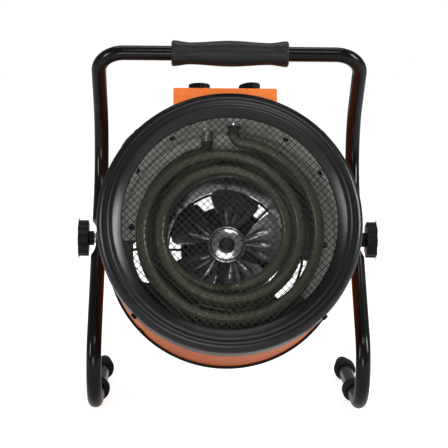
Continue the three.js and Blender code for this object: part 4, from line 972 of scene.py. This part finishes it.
def makeTunnel():
    d = tunnelData
    edge, soft, high = linerData["radius"] - 0.3, d["round"], d["beadHeight"]
    outside, centre = d["radius"] + d["sheet"], (d["radius"] + d["flare"], d["end"])
    lip, rise = d["bulkhead"] + d["dish"], d["dish"] / (edge - d["radius"] - soft)

    def face(radius, lift=0):  # the dish falls back evenly to the opening
        return (radius, lip - rise * (radius - d["radius"] - soft) + lift)

    (beadStart, beadEnd), screwAt = d["bead"], d["screwRadius"]
    outline = [(d["radius"], lip + soft)]
    outline += arc((d["radius"] + soft, lip + soft), soft, 180, 270, 8)[1:]
    outline += [face(beadStart), face(beadStart + 1.2, high), face(beadEnd - 1.2, high),
                face(beadEnd), face(edge), face(edge, 1.8), (outside + 4, lip + 2.1),
                (outside, lip + 5)]
    outline += arc(centre, d["flare"] - d["sheet"], 180, 90, 6)
    outline += arc(centre, d["flare"], 90, 180, 6)
    tunnel = headLathe("fanTunnel", outline)
    for slot in d["slots"]:
        cutAway(tunnel, makeSlot(*slot, lip))
    finishPiece(tunnel, tunnelSteel, "head", ("fan_tunnel",), headPlace)
    # galvanised outside the element and down to the slots, as painted light; the darker steel on
    # the rest of the bulkhead is painted shade
    tunnel.data.materials.append(galvanised)
    back, (low, high) = headPlace.inverted(), d["brightArc"]
    for facet in tunnel.data.polygons:
        spot = back @ facet.center
        turn = degrees(atan2(spot.z, spot.x))
        bright = turn > low or turn < high - 360
        if bright and hypot(spot.x, spot.z) > d["paintedLightFrom"] * mm:
            facet.material_index = 1
    screwsRound("bulkheadScrew", d["screws"], screwAt, face(screwAt, 0.1)[1], knobPlastic, 1.0,
                "front")


makeLiner()
makeTunnel()
print("liner and tunnel made")

# Rear guard and motor.

guardData = {"wire": 3, "radii": (46.2, 67, 88, 108, 128.3), "depth": 159.8, "spokes": 8}
motorData = {"radius": 44, "front": 149, "end": 191, "nose": 9, "noseLength": 3.2, "flange": 52,
             "flangeSheet": 2, "groove": 176, "grooveWidth": 3, "grooveDepth": 0.8, "vents": 30,
             "ventRing": (22, 33), "ventDepth": 2.2, "screwRadius": 48, "boltRadius": 37.5}


def makeGuard():
    d = guardData
    middle, wire = inHead(0, d["depth"], 0), d["wire"] / 2
    parts = [addShape("guardRing", bpy.ops.mesh.primitive_torus_add, major_radius=radius * mm,
                      minor_radius=wire * mm, major_segments=96, minor_segments=10,
                      location=middle * mm, rotation=(pi / 2, 0, 0))
             for radius in d["radii"]]
    inner, outer = d["radii"][0], d["radii"][-1]
    spokes = [[atAngle(reach, i * 360 / d["spokes"], d["depth"])
               for reach in (inner, (inner + outer) / 2, outer)] for i in range(d["spokes"])]
    parts.append(tubesAlong("guardSpokes", spokes, wire, 10))
    finishPiece(joinPieces("rearGuard", parts), glossPaint, "head", ("rear_guard",), headPlace,
                sharp=50)


def makeMotor():
    d = motorData
    r, front, end, groove = d["radius"], d["front"], d["end"], d["groove"]
    nose, flange = front - d["noseLength"], guardData["depth"] + 1.8
    rear, low, after = flange + d["flangeSheet"], r - d["grooveDepth"], groove + d["grooveWidth"]
    outline = [(0, nose), (d["nose"], nose), (d["nose"], front), (r - 4, front)]
    outline += arc((r - 4, front + 4), 4, -90, 0, 5)[1:]
    outline += [(r, flange), (d["flange"], flange), (d["flange"], rear), (r, rear),
                (r, groove), (low, groove + 0.6), (low, after - 0.6), (r, after)]
    outline += arc((r - 5, end - 5), 5, 0, 90, 6)
    outline += [(34, end), (21, end), (15, end - 1.2), (12, end - 1.2), (11, end), (0, end)]
    motor = headLathe("motor", outline, 2 * d["vents"], shut=False)
    step = fullTurn / (2 * d["vents"])
    back = inHead(0, end, 0).y * mm
    innermost, outermost = d["ventRing"]

    def isVent(centre, normal):
        reach = hypot(centre.x, centre.z) / mm
        turn = int((atan2(centre.z, centre.x) + pi) / step)
        return (normal.y > 0.9 and innermost < reach < outermost and turn % 2 == 0
                and abs(centre.y - back) < mm)

    selectFaces(motor, isVent)
    bpy.ops.mesh.inset(thickness=0.4 * mm, use_individual=True)
    bpy.ops.mesh.extrude_faces_move(
        MESH_OT_extrude_faces_indiv={},
        TRANSFORM_OT_shrink_fatten={"value": -d["ventDepth"] * mm})
    bpy.ops.object.mode_set(mode="OBJECT")
    finishPiece(motor, motorPaint, "head", ("motor",), headPlace, sharp=30)
    for i, angle in enumerate(quarters):
        for name, turn, reach, depth, scale in (
                ("motorScrew", angle - 22.5, d["screwRadius"], rear, 0.9),
                ("motorBolt", angle, d["boltRadius"], end - 0.9, 0.6)):
            placeScrew(f"{name}{i + 1}", atAngle(reach, turn, depth), (0, 1, 0), platedSteel, scale)


makeGuard()
makeMotor()
print("guard and motor made")

# Fan: pressed blades with swept ribs, on a hub under a bright cap and a nut.

fanData = {"blades": 5, "tip": 64, "hub": 19, "front": 132, "back": 144.5, "turn": 10,
           "halfAngle": 31, "pitch": 24, "thickness": 1.2, "corner": 10, "forward": 4, "bore": 4.2,
           "rib": 1.5, "ribWidth": 0.1, "ribs": (-0.62, 0.0, 0.55), "belly": 1.2,
           "cap": 21.5, "capRim": 3, "capDepth": 5, "nut": 7.5, "nutLength": 7}


def makeBlade():
    # a flat grid bent to a pitched sector with pressed ribs
    d = fanData
    blade = addShape("bladeModel", bpy.ops.mesh.primitive_grid_add, x_subdivisions=40,
                     y_subdivisions=32, size=2)
    root, tip, corner = d["hub"] - 3, d["tip"], d["corner"]
    half, lean = radians(d["halfAngle"]), radians(d["pitch"])

    def shaped(point):
        u, v = point.x, (point.y + 1) / 2
        radius = root + (tip - root) * v
        near = max(0, (radius - (tip - corner)) / corner)
        wide = half * (0.62 + 0.38 * smoothStep(v, 0, 0.55))
        wide -= corner / tip * (1 - sqrt(max(0, 1 - near ** 2)))
        angle = u * wide
        x, z = radius * sin(angle), radius * cos(angle)
        ribs = sum(exp(-((u - at - 0.25 * v) / d["ribWidth"]) ** 2) for at in d["ribs"])
        y = d["rib"] * ribs * (1 - smoothStep(v, 0.25, 0.8)) - d["belly"] * (1 - u * u) * v
        turned = lean * (1.12 - 0.3 * v)
        return Vector((x * cos(turned) - y * sin(turned),
                       x * sin(turned) + y * cos(turned), z)) * mm

    moveVertices(blade, shaped)
    applyModifier(blade, "SOLIDIFY", thickness=d["thickness"] * mm, offset=0)
    roundEdges(blade, 0.25, 1, 60)
    return blade


def makeFan():
    d = fanData
    hub, front, back, bore, cap = d["hub"], d["front"], d["back"], d["bore"], d["cap"]
    middle = shiftTo(inHead(0, (front + back) / 2 - d["forward"], 0))
    blade = makeBlade()
    parts = []
    for i in range(d["blades"]):
        turned = turnBy(d["turn"] + i * 360 / d["blades"], "Y")
        parts.append(copyPiece(blade, f"blade{i}", middle @ turned))
    bpy.data.objects.remove(blade)
    parts.append(headLathe("fanHub", [(bore, front), (hub - 1, front), (hub, front + 1),
                                      (hub, back - 1), (hub - 1, back), (bore, back)], 72))
    wheel = joinPieces("fanWheel", parts)
    finishPiece(wheel, fanSteel, "fan", ("fan_wheel",), headPlace, sharp=45)
    back, inner = front - 0.3, cap - d["capRim"]
    outline = [(bore, back - 1.5), (inner - 1.5, back - 1.5), (inner - 0.2, back - 2.2)]
    outline += arc((cap - 1.5, back - d["capDepth"] + 1.5), 1.5, 180, 360, 12)
    outline += [(cap, back), (bore, back)]
    headPiece("fan_cap", outline, brightSteel, 96, body="fan")
    back, nut = front - 2.1, d["nut"]
    tip = back - d["nutLength"]
    outline = [(0, tip)] + arc((nut - 2.5, tip + 2.5), 2.5, -90, 0, 6)
    outline += [(nut, back - 1.4), (nut + 1.4, back - 1), (nut + 1.4, back), (0, back)]
    headPiece("fan_nut", outline, motorPaint, 48, shut=False, body="fan")


makeFan()
print("fan made")

# Heating element: one tube, a spiral in, a step back, and a spiral out again.

elementData = {"diameter": 12, "depth": 42, "spacing": 24, "radii": (96, 76, 61.5), "frontX": 5,
               "rearX": -23.5, "end": 121, "turns": 2.5, "bend": 17, "bendRadius": 12,
               "rise": 0.12, "stepBack": 0.5, "perTurn": 72, "shiftX": 1.2, "drop": 2.4,
               "stepsIn": ((0.7, 1.2), (1.7, 2.2)), "stepsOut": ((0.8, 1.3), (2.2, 2.5))}


def elementRoute():
    d = elementData
    outer, middle, inner = d["radii"]
    dive = d["turns"] * fullTurn
    start, end = (d["frontX"] + d["bend"]) / outer, 2 * dive + (d["rearX"] - d["bend"]) / outer

    def at(angle):
        turns = angle / fullTurn
        first, second = d["stepsIn"] if turns < d["turns"] else d["stepsOut"]
        turns = min(turns, 2 * d["turns"] - turns)
        radius = (outer - (outer - middle) * smoothStep(turns, *first)
                  - (middle - inner) * smoothStep(turns, *second))
        back = d["spacing"] * smoothStep(angle, dive - d["stepBack"] / 2, dive + d["stepBack"] / 2)
        away = smoothStep(turns, 0.05, 0.4)  # the ends stay under their ferrules
        return inHead(radius * sin(angle) + d["shiftX"] * away, d["depth"] + back,
                      radius * cos(angle) - d["drop"] * away)

    steps = round((end - start) / fullTurn * d["perTurn"])
    spiral = [at(start + (end - start) * i / steps) for i in range(steps + 1)]

    def turnDown(x, depth, first):
        top = inHead(x, depth, d["end"])
        corner = Vector((top.x, top.y, first.z + abs(first.x - top.x) * d["rise"]))
        return roundedPath([(top, 0), (corner, d["bendRadius"]), (first, 0)], 8)[:-1]

    return (turnDown(d["frontX"], d["depth"], spiral[0]) + spiral
            + turnDown(d["rearX"], d["depth"] + d["spacing"], spiral[-1])[::-1])


def makeElement():
    element = tubesAlong("heatingElement", [elementRoute()], elementData["diameter"] / 2, 24)
    finishPiece(element, elementSheath, "head", ("heating_element",), headPlace, sharp=60)


bracketData = {"width": 15.4, "sheet": 1.2, "drop": 11, "size": 20, "top": 115.4}
ferruleData = {"bore": 6.05, "radius": 7.1, "flange": 8.6, "top": 116.8, "frontFoot": 112.6,
               "rearFoot": 101}


def makeBracket():
    # an upturned channel: a cube without its lower, front and rear faces, thickened to a sheet
    d, e, f = bracketData, elementData, ferruleData
    bracket = addCube("elementBracket", (d["width"], d["size"], d["drop"]),
                      inHead(e["frontX"], e["depth"], d["top"] - d["drop"] / 2))
    selectFaces(bracket, lambda centre, normal: normal.z < -0.9 or abs(normal.y) > 0.9)
    bpy.ops.mesh.delete(type="FACE")
    bpy.ops.object.mode_set(mode="OBJECT")
    roundEdges(bracket, 1.2, 3, 60)
    applyModifier(bracket, "SOLIDIFY", thickness=d["sheet"] * mm, offset=-1)
    finishPiece(bracket, brightSteel, "head", ("element_bracket",), headPlace)
    bore, r, flange, top, rear = f["bore"], f["radius"], f["flange"], f["top"], f["rearFoot"]
    for name, x, depth, outline in (
            ("Front", e["frontX"], e["depth"], [(bore, f["frontFoot"]), (r, f["frontFoot"])]),
            ("Rear", e["rearX"], e["depth"] + e["spacing"], [(bore, rear), (r, rear + 0.6)])):
        # ferrule round each end of the tube, under the liner
        outline += [(r, top - 1.2), (flange, top - 0.9), (flange, top), (bore, top)]
        finishPiece(lathe("ferrule" + name, outline, 48), brightSteel, "head", (),
                    headPlace @ shiftTo(inHead(x, depth, 0)) @ alongZ)


makeElement()
makeBracket()
print("element made")

# Control box: a folded sheet box scribed to the drum, with a lid seam, scales and two dials.

boxData = {"offset": -4.5, "width": 113, "low": 100, "top": 154, "front": 31, "back": 115,
           "edge": 1.4, "seam": 9, "seamDepth": 1.4, "screwHeight": 135, "screwInset": 14,
           "dialSpacing": 56, "dialDepth": 76}
dialData = {"radius": 12, "height": 18, "slope": 5, "drop": 1, "flutes": 14, "flute": 0.5,
            "edge": 0.7, "pointer": (6.5, 1.2, 0.4), "pointerAt": 5.6}


def dialX(side):
    return boxData["offset"] + side * boxData["dialSpacing"] / 2


def makeBox():
    d = boxData
    width, long, middle = d["width"], d["back"] - d["front"], (d["front"] + d["back"]) / 2
    box = addCube("controlBox", (width, long, d["top"] - d["low"]),
                  inHead(d["offset"], middle, (d["top"] + d["low"]) / 2))
    roundEdges(box, d["edge"], 3, 60)
    front, end = drumData["front"], drumData["end"]
    cutAway(box, addShape(
        "drumCutter", bpy.ops.mesh.primitive_cylinder_add, vertices=144,
        radius=(drumData["radius"] + 0.2) * mm, depth=(end - front) * mm,
        location=inHead(0, (front + end) / 2, 0) * mm, rotation=(pi / 2, 0, 0)))
    # a cutter of three sides leaves the seam under the lid, but not in front
    seam, core = [addCube(
        "seamCutter", (width + grow * 1.2, long - grow * 2 * d["seamDepth"], thick),
        inHead(d["offset"], middle + grow * 2, d["top"] - d["seam"]))
        for grow, thick in ((1, 0.5), (-1, 2))]
    cutAway(seam, core)
    cutAway(box, seam)
    finishPiece(box, orangePaint, "head", ("control_box",), headPlace, sharp=30)
    near, far = d["front"] + d["screwInset"], d["back"] - d["screwInset"]
    for i, (side, depth) in enumerate(((-1, near), (-1, far), (1, near), (1, far))):
        at = inHead(d["offset"] + side * (width / 2 - 0.1), depth, d["screwHeight"])
        placeScrew(f"boxScrew{i + 1}", at, (side, 0, 0), knobPlastic, 0.8)


def makeDial(node, side, turned):
    # spun upright, then its side is fluted and its top tilted
    d, name, body = dialData, camelCase(node), node + "_body"
    r, high, edge = d["radius"], d["height"], d["edge"]
    outline = [(0, 0), (r - 0.4, 0), (r, 0.4)] + arc((r - edge, high - edge), edge, 0, 90, 4)
    outline += [(r - 2, high), (r - 2.6, high - 0.6), (0, high - 0.6)]
    dial = lathe(name, outline, d["flutes"] * 12, shut=False)
    rise = tan(radians(d["slope"]))

    def fluted(point):
        wave = 0
        if hypot(point.x, point.z) > (r - 1) * mm:
            angle = atan2(point.z, point.x)
            wave = smoothStep(0.5 - 0.5 * cos(d["flutes"] * angle), 0.55, 0.95)
        drawn = 1 - d["flute"] / r * wave
        lift = (point.x * rise - d["drop"] * mm) if point.y > high / 2 * mm else 0
        return Vector((point.x * drawn, point.y + lift, point.z * drawn))

    moveVertices(dial, fluted)
    dial.matrix_world = alongZ
    place = headPlace @ shiftTo(inHead(dialX(side), boxData["dialDepth"], boxData["top"] + 0.3))
    place = place @ turnBy(turned, "Z")
    finishPiece(dial, knobPlastic, body, (node,), place)
    line = addCube(name + "Pointer", d["pointer"])
    roundEdges(line, 0.15, 2)
    lift = shiftTo((d["pointerAt"], 0, high - 1.55 + d["pointerAt"] * rise))
    finishPiece(line, markWhite, body, (), place @ lift @ turnBy(-d["slope"], "Y"))


scaleData = {"inner": 7.6, "outer": 22, "sheet": 0.35, "tick": (2.2, 0.6, 0.12), "tickAt": 14.4,
             "number": 4.4, "numberAt": 18.8, "raised": 0.06}


def makeScale(name, side, angles, labels):
    # a printed plate round a dial: black disc, white ticks and plain numbers
    d = scaleData
    inner, outer, sheet = d["inner"], d["outer"], d["sheet"]
    plate = lathe(name + "Plate", [(inner, -0.05), (outer, -0.05), (outer, sheet), (inner, sheet)],
                  96)
    roundEdges(plate, 0.1)
    place = headPlace @ shiftTo(inHead(dialX(side), boxData["dialDepth"], boxData["top"]))
    finishPiece(plate, satinPaint, "head", (), place @ alongZ)
    marks = []
    for angle, label in zip(angles, labels):
        a = radians(angle)
        way = Vector((cos(a), sin(a), 0))
        marks.append(addCube("tick", d["tick"], way * d["tickAt"] + Vector((0, 0, sheet)), a))
        if label:
            bpy.ops.object.text_add(location=(way * d["numberAt"] + Vector((0, 0, sheet))) * mm)
            number = bpy.context.object
            number.data.body = label
            number.data.size = d["number"] * mm
            number.data.align_x, number.data.align_y = "CENTER", "CENTER"
            number.data.extrude = d["raised"] * mm
            pick(number)
            bpy.ops.object.convert(target="MESH")
            bpy.ops.object.transform_apply(location=True, rotation=True, scale=True)
            marks.append(bpy.context.object)
    finishPiece(joinPieces(name + "Marks", marks), markWhite, "head", (), place)


makeBox()
makeDial("heat_dial", -1, 90)
makeDial("thermostat_dial", 1, 0)
makeScale("heat", -1, (90, 30, -30, -90), ("0", "1", "2", "3"))
makeScale("thermostat", 1, tuple(90 - 27 * i for i in range(11)),
          tuple(str(i) if i % 2 == 0 else "" for i in range(11)))
print("control box made")

bpy.data.objects.remove(screwModel)

# The CAD nodes that stay get their finishes.

kept = {"fan_shaft": platedSteel, "element_terminal_front": ceramicWhite,
        "element_terminal_rear": ceramicWhite, "heat_switch": knobPlastic,
        "room_thermostat": platedSteel, "cord_tie": knobPlastic}
for node, material in kept.items():
    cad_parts[node].data.materials.clear()
    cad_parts[node].data.materials.append(material)

# Studio: pale floor, white backdrop for the camera, a dimmer one for gloss, soft lamps.

studio = {"floorSize": 14, "floorColour": 0.6, "floorLift": 0.8, "fill": 0.42, "gloss": 0.2,
          "aim": (0, 0, 0.2),
          "lamps": (
              # name, azimuth from the front, elevation, distance, size, power
              ("keyLamp", 8, 50, 2.0, (0.9, 0.5), 6),
              ("lowLamp", -8, 1, 2.3, (1.0, 0.5), 10),
              ("sideLamp", 72, 24, 1.7, (0.3, 0.8), 19),
              ("leftLamp", -60, 16, 1.8, (0.35, 0.7), 10),
              ("topStrip", 180, 73, 1.9, (1.4, 0.35), 8))}


def makeStudio():
    floor = addShape("floor", bpy.ops.mesh.primitive_plane_add, size=studio["floorSize"])
    material = bpy.data.materials.new("paleFloor")
    material.use_nodes = True
    tree = material.node_tree
    path = addNode(tree, "ShaderNodeLightPath").outputs
    seen = reckon(tree, "MULTIPLY_ADD", path["Is Glossy Ray"], studio["gloss"],
                  path["Is Camera Ray"])
    feed(tree, tree.nodes["Principled BSDF"], {
        "Base Color": (*[studio["floorColour"]] * 3, 1), "Roughness": 0.9,
        "Specular IOR Level": 0.1, "Emission Color": (1, 1, 1, 1),
        "Emission Strength": reckon(tree, "MULTIPLY", seen, studio["floorLift"])})
    floor.data.materials.append(material)

    world = bpy.data.worlds.new("studioWorld")
    bpy.context.scene.world = world
    world.use_nodes = True
    tree = world.node_tree
    path = addNode(tree, "ShaderNodeLightPath").outputs
    seen = reckon(tree, "MAXIMUM", path["Is Camera Ray"], path["Is Transmission Ray"])
    both = reckon(tree, "MULTIPLY_ADD", path["Is Glossy Ray"], studio["gloss"], seen)
    total = reckon(tree, "MULTIPLY_ADD", path["Is Diffuse Ray"], studio["fill"], both)
    feed(tree, tree.nodes["Background"], {"Strength": total, "Color": (1, 1, 1, 1)})

    for name, azimuth, elevation, distance, size, power in studio["lamps"]:
        around, up = radians(azimuth), radians(elevation)
        way = Vector((cos(up) * sin(around), -cos(up) * cos(around), sin(up)))
        bpy.ops.object.light_add(type="AREA", location=Vector(studio["aim"]) + way * distance)
        lamp = bpy.context.object
        lamp.name = name
        lamp.data.shape = "RECTANGLE"
        lamp.data.size, lamp.data.size_y = size
        lamp.data.energy = power
        lamp.rotation_euler = (-way).to_track_quat("-Z", "Y").to_euler()
    bpy.context.scene.view_settings.view_transform = "Standard"


makeStudio()
print("studio set")
